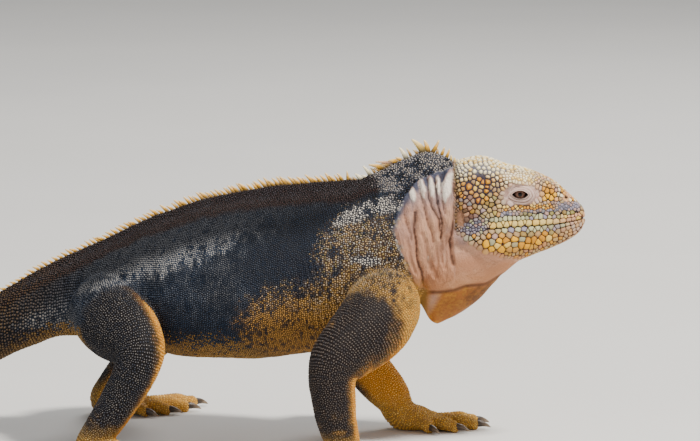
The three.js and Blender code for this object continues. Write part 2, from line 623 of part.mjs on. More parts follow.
function footParts({ joints, toes, side, fore }) {
  const plan = fore ? HAND : FOOT;
  const [lower, wrist] = joints.slice(-2);
  const ahead = (angle) => v(Math.cos(degrees(toes) + angle), Math.sin(degrees(toes) + angle), 0);
  const out = (angle, distance, z) => wrist.clone().setZ(z).addScaledVector(ahead(angle), distance);
  const heel = wrist.clone().addScaledVector(lower.clone().sub(wrist).normalize(), 12);
  const palm = tube(
    [heel, wrist.clone().setZ(12), out(0, plan.palm * 0.6, 9), out(0, plan.palm, 6.8)],
    { radii: [[0, plan.heel], ...PALM_RADII], ...PALM_SHAPE });
  const digits = [];
  const claws = [];
  for (const { spread, reach, radius } of plan.digits) {
    const angle = side * degrees(spread);
    const knuckle = out(angle * 0.7, plan.palm * 0.5, 0);
    const along = (share, z) =>
      knuckle.clone().addScaledVector(ahead(angle), (reach - plan.palm * 0.5) * share).setZ(z);
    const tip = along(1, radius * 0.86);
    const arch = [along(0, radius + 1), along(0.35, radius + 2), along(0.72, radius + 1.4)];
    const bones = [...arch, along(0.92, tip.z), tip];
    const radii = DIGIT_RADII.map(([t, share]) => [t, share * radius]);
    digits.push(tube(bones, { radii, ...DIGIT_SHAPE }));
    const clawBone = (share) =>
      tip.clone()
        .addScaledVector(ahead(angle), CLAW.gap + CLAW.length * share)
        .setZ(tip.z + CLAW.rise - CLAW.drop * share ** 2);
    claws.push(tube([0, 0.35, 0.7, 1].map(clawBone), CLAW_SHAPE));
  }
  return { palm, digits, claws };
}

// Colours

const paint = (hex, roughness) => new THREE.MeshStandardMaterial({ color: hex, roughness, metalness: 0 });
const PAINT = {
  dark: paint(0x33302f, 0.85),
  head: paint(0xc9b479, 0.75),
  neck: paint(0xb89a86, 0.8),
  pouch: paint(0xb5784a, 0.8),
  arm: paint(0x4b4036, 0.85),
  ochre: paint(0xb9781f, 0.8),
  eye: paint(0x3a1a14, 0.2),
  claw: paint(0x4a3c30, 0.5),
};

const animal = new THREE.Group();
function node(name, solid, material) {
  const mesh = new THREE.Mesh(geometryOf(largest(solid)), material);
  mesh.name = name;
  animal.add(mesh);
}

// Assembly. The plane cuts leave the way that their name says, and spines keep clear of them.

const SIDES = [[1, "left"], [-1, "right"]];
const NECK_CUT = 48;
const TAIL_CUTS = [338, 448, 580, 715];
const CLEAR_OF_CUT = 4;
const NAPE_CREST = { from: 17, to: 82 };
const BACK_CREST_FROM = 91;
const behindCut = (solid, s) => above(solid, onPath(s, 0, 0), forwardAt(s).negate());
const aheadOfCut = (solid, s) => above(solid, onPath(s, 0, 0), forwardAt(s));

const trunk = foreLoft(0);
const trunkRoom = foreLoft(GAP);
const tail = onFloor(rearLoft(0));
const pouchRoom = pouchLoft(GAP);

function addHead() {
  const raised = SIDES.flatMap(([side]) => [lids(side), nostrilRim(side), ...lipPlates(side)]);
  const pits = SIDES.flatMap(([side]) => [socket(side), eyeOpening(side), nostrilPit(side), earPit(side)]);
  const solid = union([headLoft(0), ...crownKnobs(), ...raised]);
  node("head", without(solid, [...pits, trunkRoom]), PAINT.head);
  for (const [side, name] of SIDES) node(`eye_${name}`, eyeball(side, EYE.radius), PAINT.eye);
  node("throat_pouch", without(pouchLoft(0), [headLoft(GAP), trunkRoom]), PAINT.pouch);
}

function addTrunk() {
  const neckSpines = napeSpines(NAPE_CREST.from, NECK_CUT - CLEAR_OF_CUT);
  node("neck", union([aheadOfCut(trunk, NECK_CUT), ...neckSpines]), PAINT.neck);
  const torso = aheadOfCut(behindCut(trunk, NECK_CUT), TAIL_CUTS[0]);
  const torsoSpines = [
    ...napeSpines(NECK_CUT + CLEAR_OF_CUT, NAPE_CREST.to),
    ...backSpines(BACK_CREST_FROM, TAIL_CUTS[0] - CLEAR_OF_CUT, BACK_SPACING),
  ];
  node("torso", union([torso, ...torsoSpines]), PAINT.dark);
}

// The last length of the tail has no spines.
function addTail() {
  TAIL_CUTS.forEach((from, i) => {
    const rest = behindCut(tail, from);
    const to = TAIL_CUTS[i + 1];
    const spines = to ? backSpines(from + CLEAR_OF_CUT + 1, to - CLEAR_OF_CUT - 1, TAIL_SPACING) : [];
    node(`tail_${i + 1}`, union([to ? aheadOfCut(rest, to) : rest, ...spines]), PAINT.dark);
  });
}

const ARM_PARTS = ["upper_arm", "forearm", "hand"];
const LEG_PARTS = ["thigh", "shin", "foot"];
const DIGIT_NAMES = ["first", "second", "third", "fourth", "fifth"];
function addLimb(limb) {
  const side = limb.side > 0 ? "left" : "right";
  const [upper, lower, foot] = (limb.fore ? ARM_PARTS : LEG_PARTS).map((part) => `${side}_${part}`);
  const whole = without(limbTube(limb), [trunkRoom, rearLoft(GAP), pouchRoom]);
  const { bend, wrist } = jointPlanes(limb);
  const [fromBend, fromWrist] = [bend, wrist].map(({ down }) => down.clone().negate());
  node(upper, above(whole, bend.point, fromBend), limb.fore ? PAINT.arm : PAINT.dark);
  node(lower, above(above(whole, bend.point, bend.down), wrist.point, fromWrist), PAINT.ochre);
  const { palm, digits, claws } = footParts(limb);
  node(foot, onFloor(union([above(palm, wrist.point, wrist.down), ...digits])), PAINT.ochre);
  claws.forEach((claw, i) => node(`${foot}_claw_${DIGIT_NAMES[i]}`, claw, PAINT.claw));
}

addHead();
addTrunk();
addTail();
Object.values(LIMBS).forEach(addLimb);

const box = new THREE.Box3().setFromObject(animal);
const centre = box.getCenter(new THREE.Vector3());
animal.position.set(-centre.x, -centre.y, -box.min.z);
const root = new THREE.Group().add(animal);

export default root;
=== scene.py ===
# A Galapagos land iguana, life size: skin, scales, crest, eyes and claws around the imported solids.
# Lengths are in millimetres in the animal's own frame: x is 0 between the shoulders and grows towards
# the snout, y grows to the animal's left, z is 0 on the floor. PLACE turns them into the frame's metres.
import math

import bpy
import numpy as np
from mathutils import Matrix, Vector
from mathutils.bvhtree import BVHTree
from mathutils.kdtree import KDTree


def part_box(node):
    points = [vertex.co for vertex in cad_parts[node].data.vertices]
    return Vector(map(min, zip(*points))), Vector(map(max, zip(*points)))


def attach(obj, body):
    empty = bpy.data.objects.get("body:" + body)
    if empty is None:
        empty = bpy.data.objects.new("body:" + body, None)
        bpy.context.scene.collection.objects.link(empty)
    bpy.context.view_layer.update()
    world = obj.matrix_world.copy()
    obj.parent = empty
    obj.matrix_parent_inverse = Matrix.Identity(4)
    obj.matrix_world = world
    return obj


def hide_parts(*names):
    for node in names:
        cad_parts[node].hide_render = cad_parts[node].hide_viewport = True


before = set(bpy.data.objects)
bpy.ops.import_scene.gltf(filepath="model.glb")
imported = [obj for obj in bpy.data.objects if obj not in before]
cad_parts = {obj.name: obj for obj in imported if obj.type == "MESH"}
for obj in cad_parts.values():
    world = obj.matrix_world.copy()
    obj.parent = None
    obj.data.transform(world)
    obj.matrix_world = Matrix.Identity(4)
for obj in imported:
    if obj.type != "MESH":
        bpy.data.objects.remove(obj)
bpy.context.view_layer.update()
MM = 0.001

# The shift from the animal's frame to the frame's origin, found from the ball of the right eye.
EYE_X, EYE_Y, EYE_Z, EYE_RADIUS = 138.4, 18.6, 215.8, 7.6
EYE_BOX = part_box("eye_right")
EYE_MIDDLE = (np.array(EYE_BOX[0]) + np.array(EYE_BOX[1])) / 2
PLACE = EYE_MIDDLE - np.array([EYE_X, -EYE_Y, EYE_Z]) * MM


# Curves and noise


def curve(*knots):
    """A smooth curve through (position, value) knots that never overshoots them."""
    xs, ys = np.array(knots, float).T
    slopes = np.diff(ys) / np.diff(xs)
    tangents = np.concatenate([slopes[:1], np.zeros(len(xs) - 2), slopes[-1:]])
    before, after = slopes[:-1], slopes[1:]
    steady = before * after > 0
    tangents[1:-1][steady] = (2 * before * after)[steady] / (before + after)[steady]

    def value(x):
        x = np.clip(x, xs[0], xs[-1])
        i = np.clip(np.searchsorted(xs, x, side="right") - 1, 0, len(xs) - 2)
        gap = xs[i + 1] - xs[i]
        t = (x - xs[i]) / gap
        start, end, leave, arrive = ys[i], ys[i + 1], tangents[i] * gap, tangents[i + 1] * gap
        square, cube = 3 * (end - start) - 2 * leave - arrive, leave + arrive - 2 * (end - start)
        return start + t * (leave + t * (square + t * cube))

    return value


def smooth(x, low, high):
    t = np.clip((x - low) / (high - low), 0, 1)
    return t * t * (3 - 2 * t)


def between(x, low, high, edge):
    """1 from low to high, fading to 0 over edge on either side."""
    return smooth(x, low - edge, low) * (1 - smooth(x, high, high + edge))


def unit(v):
    return v / np.maximum(np.linalg.norm(v, axis=-1, keepdims=True), 1e-12)


def dot(a, b):
    return np.sum(a * b, axis=-1)


# Large odd numbers that scatter whole numbers, and the bits that are kept of the outcome.
HASH_STEPS = np.array([374761393, 668265263, 2147483647])
HASH_SPIN = 1274126177
HASH_BITS, SHARE_BITS = 0x7FFFFFFF, 0xFFFFFF


def hashed(cells, seed):
    """A repeatable number from 0 to 1 for each row of three whole numbers."""
    number = (cells.astype(np.int64) * HASH_STEPS).sum(-1) + seed * HASH_SPIN
    number = (number ^ (number >> 13)) * HASH_SPIN & HASH_BITS
    return ((number ^ (number >> 16)) & SHARE_BITS) / SHARE_BITS


def noise(points, size, seed=0):
    """Smooth noise from -1 to 1 with lumps of the given size."""
    cells = points / size
    base = np.floor(cells)
    inside = cells - base
    inside = inside * inside * (3 - 2 * inside)
    total = 0
    for corner in np.ndindex(2, 2, 2):
        weight = np.prod(np.where(corner, inside, 1 - inside), axis=-1)
        total = total + weight * hashed(base + corner, seed)
    return total * 2 - 1


def rough_noise(points, size, seed=0):
    """Noise with finer lumps laid over the coarse ones."""
    return (
        noise(points, size, seed)
        + 0.5 * noise(points, size / 2.1, seed + 1)
        + 0.25 * noise(points, size / 4.3, seed + 2)
    ) / 1.4


# Neck, trunk and tail: one loft along a path, over the distance s back from the nape

NAPE_X = 92
TAIL_TIP = 850
PATH_STEP = 2
heading = curve(
    (0, 0), (50, 3), (110, 12), (300, 13), (400, 3), (520, -14), (660, -24), (780, -8), (850, 8),
)
body_top = curve(
    (2, 237), (8, 240.5), (18, 245.5), (30, 248), (43, 243), (56, 238.5), (63, 234), (76, 228),
    (84, 224.5), (96, 223.5), (134, 219.5), (175, 213.5), (217, 204), (259, 188.5), (301, 168),
    (335, 152), (364, 137), (400, 115), (440, 91), (480, 71), (520, 54), (560, 41.5), (600, 34),
    (650, 29.5), (700, 25), (760, 18.5), (820, 11), (845, 6), (850, 3.2),
)
body_bottom = curve(
    (2, 166), (12, 156), (22, 146), (30, 136), (37, 125), (44, 113), (52, 103), (62, 96), (80, 90), (100, 86),
    (140, 79), (180, 75), (220, 75), (260, 81), (300, 88), (335, 87), (364, 77), (400, 61), (440, 42),
    (480, 26), (520, 12.5), (560, 3), (590, -0.6), (700, -0.6), (850, -0.6),
)
body_width = curve(
    (2, 24), (5, 31), (8, 35.5), (14, 37.5), (22, 39), (37, 42), (50, 46), (62, 51), (84, 59), (110, 66),
    (140, 72), (180, 77), (220, 75), (260, 63), (290, 50), (315, 41), (335, 36), (364, 31), (400, 27.5),
    (440, 24.5), (480, 22), (520, 20), (560, 18), (600, 16), (650, 14), (700, 12), (760, 9), (820, 5.6),
    (845, 3), (850, 1.6),
)
body_waist = curve((30, 0.5), (62, 0.46), (96, 0.42), (180, 0.4), (260, 0.42), (335, 0.46), (400, 0.5))
back_squareness = curve((2, 2.1), (60, 1.9), (120, 1.75), (260, 1.75), (335, 1.9), (420, 2))
belly_squareness = curve((2, 2), (60, 2.1), (120, 2.4), (260, 2.4), (335, 2.1), (420, 2))
ridge_height = curve(
    (2, 3), (14, 9), (30, 14), (50, 12), (70, 8), (84, 3.5), (96, 5.5), (260, 6), (340, 4), (460, 2),
    (600, 0.8), (850, 0),
)
ridge_width = curve((2, 6), (30, 10), (84, 8), (200, 7), (400, 5), (850, 3))


def walk_path():
    places = [(0, NAPE_X, 0)]
    for s in np.arange(0, TAIL_TIP, PATH_STEP):
        turn = math.radians(heading(s + PATH_STEP / 2))
        _, x, y = places[-1]
        places.append((s + PATH_STEP, x - math.cos(turn) * PATH_STEP, y + math.sin(turn) * PATH_STEP))
    return np.array(places)


PATH = walk_path()


def path_frame(s):
    """The path's point at s, with its directions forward and to the left."""
    turn = np.radians(heading(s))
    zero = np.zeros_like(turn)
    steps, x, y = PATH.T
    at = np.stack([np.interp(s, steps, x), np.interp(s, steps, y), zero], -1)
    forward = np.stack([np.cos(turn), -np.sin(turn), zero], -1)
    left = np.stack([np.sin(turn), np.cos(turn), zero], -1)
    return at, forward, left


def path_place(points):
    """The distance s along the path and the distance to its left for points beside it."""
    s = np.interp(-points[..., 0], -PATH[:, 1], PATH[:, 0])
    for _ in range(4):
        at, forward, _ = path_frame(s)
        s = np.clip(s - dot(points - at, forward), 0, TAIL_TIP)
    at, _, left = path_frame(s)
    return s, dot((points - at) * np.array([1, 1, 0]), left)


def section_point(turn, top, waist, bottom, width, squareness):
    """How far out and how high a rounded section is, at a turn of 0 for its top to 1 for its bottom."""
    angle = np.pi * turn
    upper = np.cos(angle) >= 0
    power = 2 / np.where(upper, *squareness)
    rise = np.where(upper, top - waist, waist - bottom)
    out = width * np.abs(np.sin(angle)) ** power
    return out, waist + rise * np.sign(np.cos(angle)) * np.abs(np.cos(angle)) ** power


def body_point(s, turn, side):
    """A point of the trunk's surface: turn is 0 at the top of the back and 1 under the belly."""
    top, bottom, ridge = body_top(s), body_bottom(s), ridge_height(s)
    waist = bottom + (top - bottom) * body_waist(s)
    squareness = back_squareness(s), belly_squareness(s)
    out, z = section_point(turn, top - ridge, waist, bottom, body_width(s), squareness)
    z = z + np.where(np.cos(np.pi * turn) >= 0, ridge * np.exp(-((out / ridge_width(s)) ** 2)), 0)
    at, _, left = path_frame(s)
    return at + left * (side * out)[..., None] + np.stack([0 * z, 0 * z, z], -1)


# Head: sections across x, from the crown to the chin

SNOUT_X = 192
HEAD_REAR_X = 78
head_top = curve(
    (78, 236), (94, 240), (106, 242), (112, 241.4), (119, 239), (127, 236), (135, 234.4), (143, 232.8),
    (152, 230.4), (160, 227.2), (168, 222.6), (174, 217.6), (180, 212), (186, 206.6), (190.2, 202),
    (192, 197.5),
)
mouth_z = curve((78, 187), (110, 188), (132, 189.2), (149, 189.5), (166, 189.8), (180, 191.3), (192, 193))
chin_z = curve(
    (78, 170), (100, 163), (115, 159.5), (130, 158.5), (143, 160.4), (152, 164.2), (160, 167), (168, 170.3),
    (176, 173.8), (183, 177.8), (188.5, 182.4), (191, 186.5), (192, 189.5),
)
crown_width = curve(
    (78, 16), (94, 19), (106, 20), (127, 19), (143, 17.6), (152, 14.6), (160, 12.4), (168, 10.2),
    (176, 8.2), (183, 6.2), (188, 4.4), (191, 2.4), (192, 0.9),
)
brow_width = curve(
    (78, 23), (94, 27), (106, 27.6), (119, 26.8), (127, 27), (135, 26.8), (143, 24.8), (152, 19.8),
    (160, 16.6), (168, 13.6), (176, 10.8), (183, 8.3), (188, 6), (191, 3.4), (192, 1.2),
)
eye_width = curve(
    (78, 27), (94, 31), (106, 31), (119, 28.6), (127, 26), (139, 24.4), (148, 22.6), (156, 19.6),
    (164, 16.4), (172, 13.4), (180, 10), (187, 6.9), (191, 3.8), (192, 1.4),
)
lip_width = curve(
    (78, 28), (94, 32), (106, 32.6), (118, 31), (130, 28), (143, 24.2), (155, 20.6), (165, 17.2),
    (174, 13.8), (182, 10.2), (187.5, 7), (191, 3.8), (192, 1.5),
)
jaw_width = curve(
    (78, 29), (94, 34), (106, 35), (118, 32), (130, 28), (143, 23.2), (155, 19), (165, 15.4),
    (174, 12), (182, 8.6), (187.5, 5.6), (191, 2.8), (192, 1.1),
)
brow_drop = curve((78, 9), (119, 8), (140, 8.5), (156, 6), (176, 3.6), (190, 2), (192, 1))
lip_height = curve((110, 6.4), (166, 6), (182, 4.4), (190, 2.6), (192, 1.2))
MOUTH_GROOVE = 1.7
MOUTH_CORNER_X = 111
mouth_groove = curve(
    (MOUTH_CORNER_X - 4, 0), (MOUTH_CORNER_X + 8, MOUTH_GROOVE), (184, MOUTH_GROOVE), (190, 1), (192, 0.3)
)


def head_section(x):
    top, mouth, chin, lip, jaw = head_top(x), mouth_z(x), chin_z(x), lip_width(x), jaw_width(x)
    line = np.minimum(0.9, (top - chin) * 0.05)
    lip_top, brow = mouth + lip_height(x), top - brow_drop(x)
    return np.array([
        [0 * x, top],
        [crown_width(x) * 0.55, top - 0.5],
        [crown_width(x), top - brow_drop(x) * 0.28],
        [brow_width(x), brow],
        [eye_width(x), lip_top + (brow - lip_top) * 0.5],
        [lip - 0.4, lip_top],
        [lip, mouth + line],
        [lip - mouth_groove(x), mouth],
        [lip - 0.3, mouth - line],
        [jaw, mouth - (mouth - chin) * 0.42],
        [jaw * 0.78, chin + (mouth - chin) * 0.16],
        [jaw * 0.4, chin + (mouth - chin) * 0.03],
        [0 * x, chin],
    ])


CHIN_PLACE = 12


def head_point(x, place, side):
    """A point of the head's surface: place runs from 0 at the crown to 12 at the chin."""
    x, place = np.broadcast_arrays(np.asarray(x, float), np.asarray(place, float))
    section = head_section(x)
    mirror = np.array([-1, 1]).reshape((2,) + (1,) * x.ndim)
    section = np.concatenate([section[1:2] * mirror, section, section[-2:-1] * mirror])
    i = np.clip(np.floor(place).astype(int), 0, CHIN_PLACE - 1)
    t = place - i
    before, start, end, after = (np.take_along_axis(section, (i + k)[None, None], 0)[0] for k in range(4))
    square, cube = 2 * before - 5 * start + 4 * end - after, 3 * (start - end) + after - before
    y, z = start + 0.5 * t * (end - before + t * (square + t * cube))
    return np.stack([x, side * y, z], -1)


# Throat pouch

POUCH_FRONT_X, POUCH_REAR_X = 147, 52
pouch_bottom = curve(
    (52, 132), (57, 123), (62, 114), (67, 107), (71.5, 104.3), (76, 106), (84, 109.8), (92, 114.3),
    (100, 120), (108, 126.7), (115, 135), (123, 143.2), (131, 150.7), (138, 156.5), (143, 160), (147, 163),
)
pouch_top = curve((52, 150), (62, 170), (80, 186), (110, 184), (130, 176), (140, 170), (147, 166.5))
pouch_width = curve(
    (52, 16), (60, 25), (72, 31), (90, 32), (104, 29.5), (118, 24), (130, 17.5), (138, 12), (143, 8), (147, 4)
)
POUCH_KEEL = 1.45
POUCH_WAIST = 0.72


def pouch_point(x, turn, side):
    top, bottom = pouch_top(x), pouch_bottom(x)
    waist = bottom + (top - bottom) * POUCH_WAIST
    out, z = section_point(turn, top, waist, bottom, pouch_width(x), (2, POUCH_KEEL))
    return np.stack([x + 0 * z, side * out, z], -1)


# Limbs, hands and feet: tubes along the bones


def spline(points, t):
    """Centripetal Catmull-Rom through points, as t runs from 0 to 1 in equal steps per stretch."""
    knots = np.array(points, float)
    knots = np.concatenate([[2 * knots[0] - knots[1]], knots, [2 * knots[-1] - knots[-2]]])
    stretches = len(knots) - 3
    i = np.clip((t * stretches).astype(int), 0, stretches - 1)
    t = (t * stretches - i)[:, None]
    gaps = np.sqrt(np.linalg.norm(np.diff(knots, axis=0), axis=1))
    before, start, end, after = (knots[i + k] for k in range(4))
    gap_in, gap, gap_out = (gaps[i + k][:, None] for k in range(3))
    leave = ((start - before) / gap_in - (end - before) / (gap_in + gap) + (end - start) / gap) * gap
    arrive = ((end - start) / gap - (after - start) / (gap + gap_out) + (after - end) / gap_out) * gap
    square, cube = 3 * (end - start) - 2 * leave - arrive, leave + arrive - 2 * (end - start)
    return start + t * leave + t ** 2 * square + t ** 3 * cube


class Tube:
    """A round limb along its bones, with radii and sideways flatness that run from 0 to 1 along it."""

    def __init__(self, points, radii, flatness):
        self.points, self.radius, self.flat = points, curve(*radii), curve(*flatness)

    def point(self, t, angle):
        t, angle = np.broadcast_arrays(t, angle)
        shape = t.shape
        t, angle = t.ravel(), angle.ravel()
        centre = spline(self.points, t)
        step = spline(self.points, np.minimum(t + 1e-3, 1)) - spline(self.points, np.maximum(t - 1e-3, 0))
        ahead = unit(step)
        across = unit(np.array([0, 1, 0]) - ahead * ahead[:, 1:2])
        other = np.cross(ahead, across)
        radius = self.radius(t)[:, None]
        flat = self.flat(t)[:, None]
        ring = across * np.cos(angle)[:, None] * flat + other * np.sin(angle)[:, None]
        return (centre + ring * radius).reshape(shape + (3,))


HIP_S = 297


def hip(forward, left, z):
    at, ahead, aside = path_frame(np.array(float(HIP_S)))
    return tuple(at + ahead * forward + aside * left + np.array([0, 0, z]))


LEG_RADII = [
    (0, 18), (0.06, 27), (0.14, 31), (0.25, 31), (0.45, 22), (0.55, 18), (0.78, 15), (0.94, 12.8), (1, 9.5),
]
LIMB_FLATNESS = [(0, 0.9), (0.5, 0.87), (1, 1.05)]
LIMBS = {
    "right_arm": dict(
        joints=[(36, -34, 142), (20, -72, 118), (-13, -101, 85), (-12, -105, 52), (-4, -104, 17)],
        radii=[
            (0, 18), (0.06, 26), (0.14, 30), (0.25, 30), (0.45, 23), (0.55, 19), (0.78, 16), (0.94, 13.3),
            (1, 10),
        ],
        toes=-8, side=-1, fore=True,
    ),
    "left_arm": dict(
        joints=[(34, 34, 140), (22, 72, 112), (0, 99, 72), (22, 97, 43), (44, 95, 18)],
        radii=[
            (0, 18), (0.06, 26), (0.14, 29), (0.25, 29), (0.45, 22), (0.55, 19), (0.78, 17.5), (0.93, 14.3),
            (1, 10),
        ],
        toes=-3, side=1, fore=True,
    ),
    "right_leg": dict(
        joints=[hip(-8, -26, 122), hip(22, -62, 110), hip(52, -96, 88), hip(36, -103, 50), hip(14, -107, 17)],
        radii=LEG_RADII, toes=-24, side=-1, fore=False,
    ),
    "left_leg": dict(
        joints=[hip(-10, 26, 122), hip(6, 62, 108), hip(22, 97, 86), hip(-8, 105, 50), hip(-36, 110, 17)],
        radii=LEG_RADII, toes=10, side=1, fore=False,
    ),
}
# A palm's length and heel radius, then each digit's spread in degrees, reach and radius.
HAND = dict(
    palm=26, heel=14, digits=[(-46, 33, 5), (-20, 50, 5.3), (0, 64, 5.5), (19, 66, 5.3), (46, 42, 4.8)],
)
FOOT = dict(
    palm=36, heel=13, digits=[(-38, 40, 5), (-17, 56, 5.4), (-2, 72, 5.7), (14, 84, 5.6), (52, 50, 4.9)],
)
PALM_RADII = [(0.35, 12.8), (0.7, 9.6), (1, 6.8)]
PALM_FLATNESS = [(0, 1), (0.35, 1.2), (0.7, 1.75), (1, 2.1)]
DIGIT_RADII = [(0, 1.08), (0.35, 0.96), (0.5, 1.14), (0.66, 0.9), (0.82, 1.06), (0.93, 0.88), (1, 0.6)]
CLAW_LENGTH, CLAW_BASE, CLAW_TIP = 10.5, 2.9, 0.3
CLAW_DROP, CLAW_RISE, CLAW_GAP = 3.2, 0.4, 0.5
CLAW_FLATNESS = [(0, 0.72), (1, 0.8)]
DIGIT_NAMES = ["first", "second", "third", "fourth", "fifth"]


def foot_tubes(limb):
    """The palm, the digits and the claws of a limb as tubes."""
    plan = HAND if limb["fore"] else FOOT
    lower, wrist = (np.array(p) for p in limb["joints"][-2:])
    toes = math.radians(limb["toes"])

    def out(angle, distance, z):
        x = wrist[0] + math.cos(toes + angle) * distance
        y = wrist[1] + math.sin(toes + angle) * distance
        return np.array([x, y, z])

    heel = wrist + unit(lower - wrist) * 12
    palm_bones = [heel, (wrist[0], wrist[1], 12), out(0, plan["palm"] * 0.6, 9), out(0, plan["palm"], 6.8)]
    palm = Tube(palm_bones, [(0, plan["heel"])] + PALM_RADII, PALM_FLATNESS)
    digits, claws = [], []
    for spread, reach, radius in plan["digits"]:
        angle = limb["side"] * math.radians(spread)
        knuckle = out(angle * 0.7, plan["palm"] * 0.5, 0)
        ahead = np.array([math.cos(toes + angle), math.sin(toes + angle), 0])

        def along(share, z):
            return knuckle * [1, 1, 0] + ahead * (reach - plan["palm"] * 0.5) * share + [0, 0, z]

        tip_z = radius * 0.86
        bones = [along(0, radius + 1), along(0.35, radius + 2), along(0.72, radius + 1.4), along(0.92, tip_z)]
        tip = along(1, tip_z)
        radii = [(t, share * radius) for t, share in DIGIT_RADII]
        digits.append(Tube(bones + [tip], radii, [(0, 1.1), (1, 1)]))
        horn = [
            tip + ahead * (CLAW_GAP + CLAW_LENGTH * share) + [0, 0, CLAW_RISE - CLAW_DROP * share ** 2]
            for share in (0, 0.35, 0.7, 1)
        ]
        claw_radii = [(0, CLAW_BASE), (0.5, CLAW_BASE * 0.68), (1, CLAW_TIP)]
        claws.append(Tube(horn, claw_radii, CLAW_FLATNESS))
    return palm, digits, claws


for limb in LIMBS.values():
    limb["tube"] = Tube(limb["joints"], limb["radii"], LIMB_FLATNESS)
    limb["palm"], limb["digits"], limb["claws"] = foot_tubes(limb)


# Meshes from arrays


def add_object(name, data):
    thing = bpy.data.objects.new(name, data)
    bpy.context.scene.collection.objects.link(thing)
    return thing


def set_points(mesh, points):
    """Puts a mesh's vertices at places in millimetres."""
    mesh.vertices.foreach_set("co", (points * MM + PLACE).astype(np.float32).ravel())


def new_mesh(name, points, faces):
    """A mesh object in the frame's metres from millimetre points and an array of equal-sided faces."""
    sides = faces.shape[1]
    mesh = bpy.data.meshes.new(name)
    mesh.vertices.add(len(points))
    set_points(mesh, points)
    mesh.loops.add(faces.size)
    mesh.loops.foreach_set("vertex_index", faces.astype(np.int32).ravel())
    mesh.polygons.add(len(faces))
    mesh.polygons.foreach_set("loop_start", np.arange(0, faces.size, sides, dtype=np.int32))
    mesh.update(calc_edges=True)
    mesh.shade_smooth()
    return add_object(name, mesh)


def move_points(mesh, points):
    set_points(mesh, points)
    mesh.update()


def rows_of(items, key, width, kind=np.float32):
    """One property of a mesh's items as the rows of an array."""
    flat = np.empty(len(items) * width, kind)
    items.foreach_get(key, flat)
    return flat.reshape(-1, width)


def points_of(mesh):
    return (rows_of(mesh.vertices, "co", 3).astype(float) - PLACE) / MM


def normals_of(mesh):
    return rows_of(mesh.vertex_normals, "vector", 3).astype(float)


def set_colour(mesh, colours):
    """Stores one colour for each vertex as the attribute that the materials read."""
    attribute = mesh.color_attributes.new("tint", "FLOAT_COLOR", "POINT")
    rgba = np.ones((len(mesh.vertices), 4), np.float32)
    rgba[:, :3] = np.clip(colours, 0, 1)
    attribute.data.foreach_set("color", rgba.ravel())


def set_number(mesh, name, values):
    mesh.attributes.new(name, "FLOAT", "POINT").data.foreach_set("value", values.astype(np.float32))


def grid_faces(rings, sides, closed=True):
    """Triangles between neighbouring rings of points, numbered ring by ring."""
    r, k = np.meshgrid(np.arange(rings - 1), np.arange(sides if closed else sides - 1), indexing="ij")
    a, b = r * sides + k, r * sides + (k + 1) % sides
    quads = np.stack([a, b, b + sides, a + sides], -1).reshape(-1, 4)
    return np.concatenate([quads[:, [0, 1, 2]], quads[:, [0, 2, 3]]])


def loft(rings):
    """Points and faces of a closed skin over rings, an array of ring, side and coordinate."""
    count, sides = rings.shape[:2]
    points = np.concatenate([rings.reshape(-1, 3), rings[:1].mean(1), rings[-1:].mean(1)])
    k = np.arange(sides)
    after = (k + 1) % sides
    end = (count - 1) * sides
    first = np.stack([0 * k + count * sides, after, k], -1)
    last = np.stack([0 * k + count * sides + 1, end + k, end + after], -1)
    return points, np.concatenate([grid_faces(count, sides), first, last])


def ring_places(half):
    """Turns down the left side and up the right, with the side of each."""
    down = np.linspace(0, 1, half + 1)
    turn = np.concatenate([down, down[-2:0:-1]])
    side = np.concatenate([np.ones(half + 1), -np.ones(half - 1)])
    return turn, side


def ring_loft(surface_point, places, half, last=1):
    """A loft of rings across the places, from points of a surface by place, turn up to last, and side."""
    turn, side = ring_places(half)
    place, turn = np.broadcast_arrays(places[:, None], turn * last)
    return loft(surface_point(place, turn, side))


def trunk_lofts():
    """The closed skins of the trunk with the tail, the head and the throat pouch."""
    s = np.concatenate([np.arange(2, 12, 1.0), np.arange(12, TAIL_TIP, 3.0), [TAIL_TIP]])
    snout = SNOUT_X - 12 * np.cos(np.linspace(0, np.pi / 2, 14))
    x = np.concatenate([np.arange(HEAD_REAR_X, 180, 1.6), snout])
    pouch_x = np.linspace(POUCH_REAR_X, POUCH_FRONT_X, 48)
    return [
        ring_loft(body_point, s, 60), ring_loft(head_point, x, 72, CHIN_PLACE),
        ring_loft(pouch_point, pouch_x, 28),
    ]


def tube_loft(tube, lengths, sides):
    t = np.linspace(0, 1, lengths + 1)[:, None]
    return loft(tube.point(t, np.linspace(0, 2 * np.pi, sides, endpoint=False)[None]))


def joined(name, parts):
    """One mesh object from several closed skins."""
    points, faces, start = [], [], 0
    for p, f in parts:
        points.append(p)
        faces.append(f + start)
        start += len(p)
    return new_mesh(name, np.concatenate(points), np.concatenate(faces))


def with_modifier(piece, kind, **settings):
    """Applies one modifier and returns the object with its new mesh."""
    modifier = piece.modifiers.new(kind, kind)
    for key, value in settings.items():
        setattr(modifier, key, value)
    graph = bpy.context.evaluated_depsgraph_get()
    mesh = bpy.data.meshes.new_from_object(piece.evaluated_get(graph))
    piece.modifiers.remove(modifier)
    old = piece.data
    piece.data = mesh
    bpy.data.meshes.remove(old)
    mesh.name = piece.name
    return piece


# The side view, in which the skin's folds and markings are laid out

CAMERA_ELEVATION = math.radians(8)
COS_VIEW, SIN_VIEW = math.cos(CAMERA_ELEVATION), math.sin(CAMERA_ELEVATION)


def seen_height(points):
    """Height as it looks from 8 degrees above, the same for both sides of the animal."""
    return points[:, 2] * COS_VIEW - np.abs(points[:, 1]) * SIN_VIEW


def side_view(points):
    return points[:, 0], seen_height(points)


# Above this height the neck and the head are free of the limbs, which end short of these places.
NECK_FLOOR_Z = 98
LIMBS_FRONT_X, PAWS_TOP_Z = 75, 60


def is_raised(points):
    return points[:, 2] > NECK_FLOOR_Z


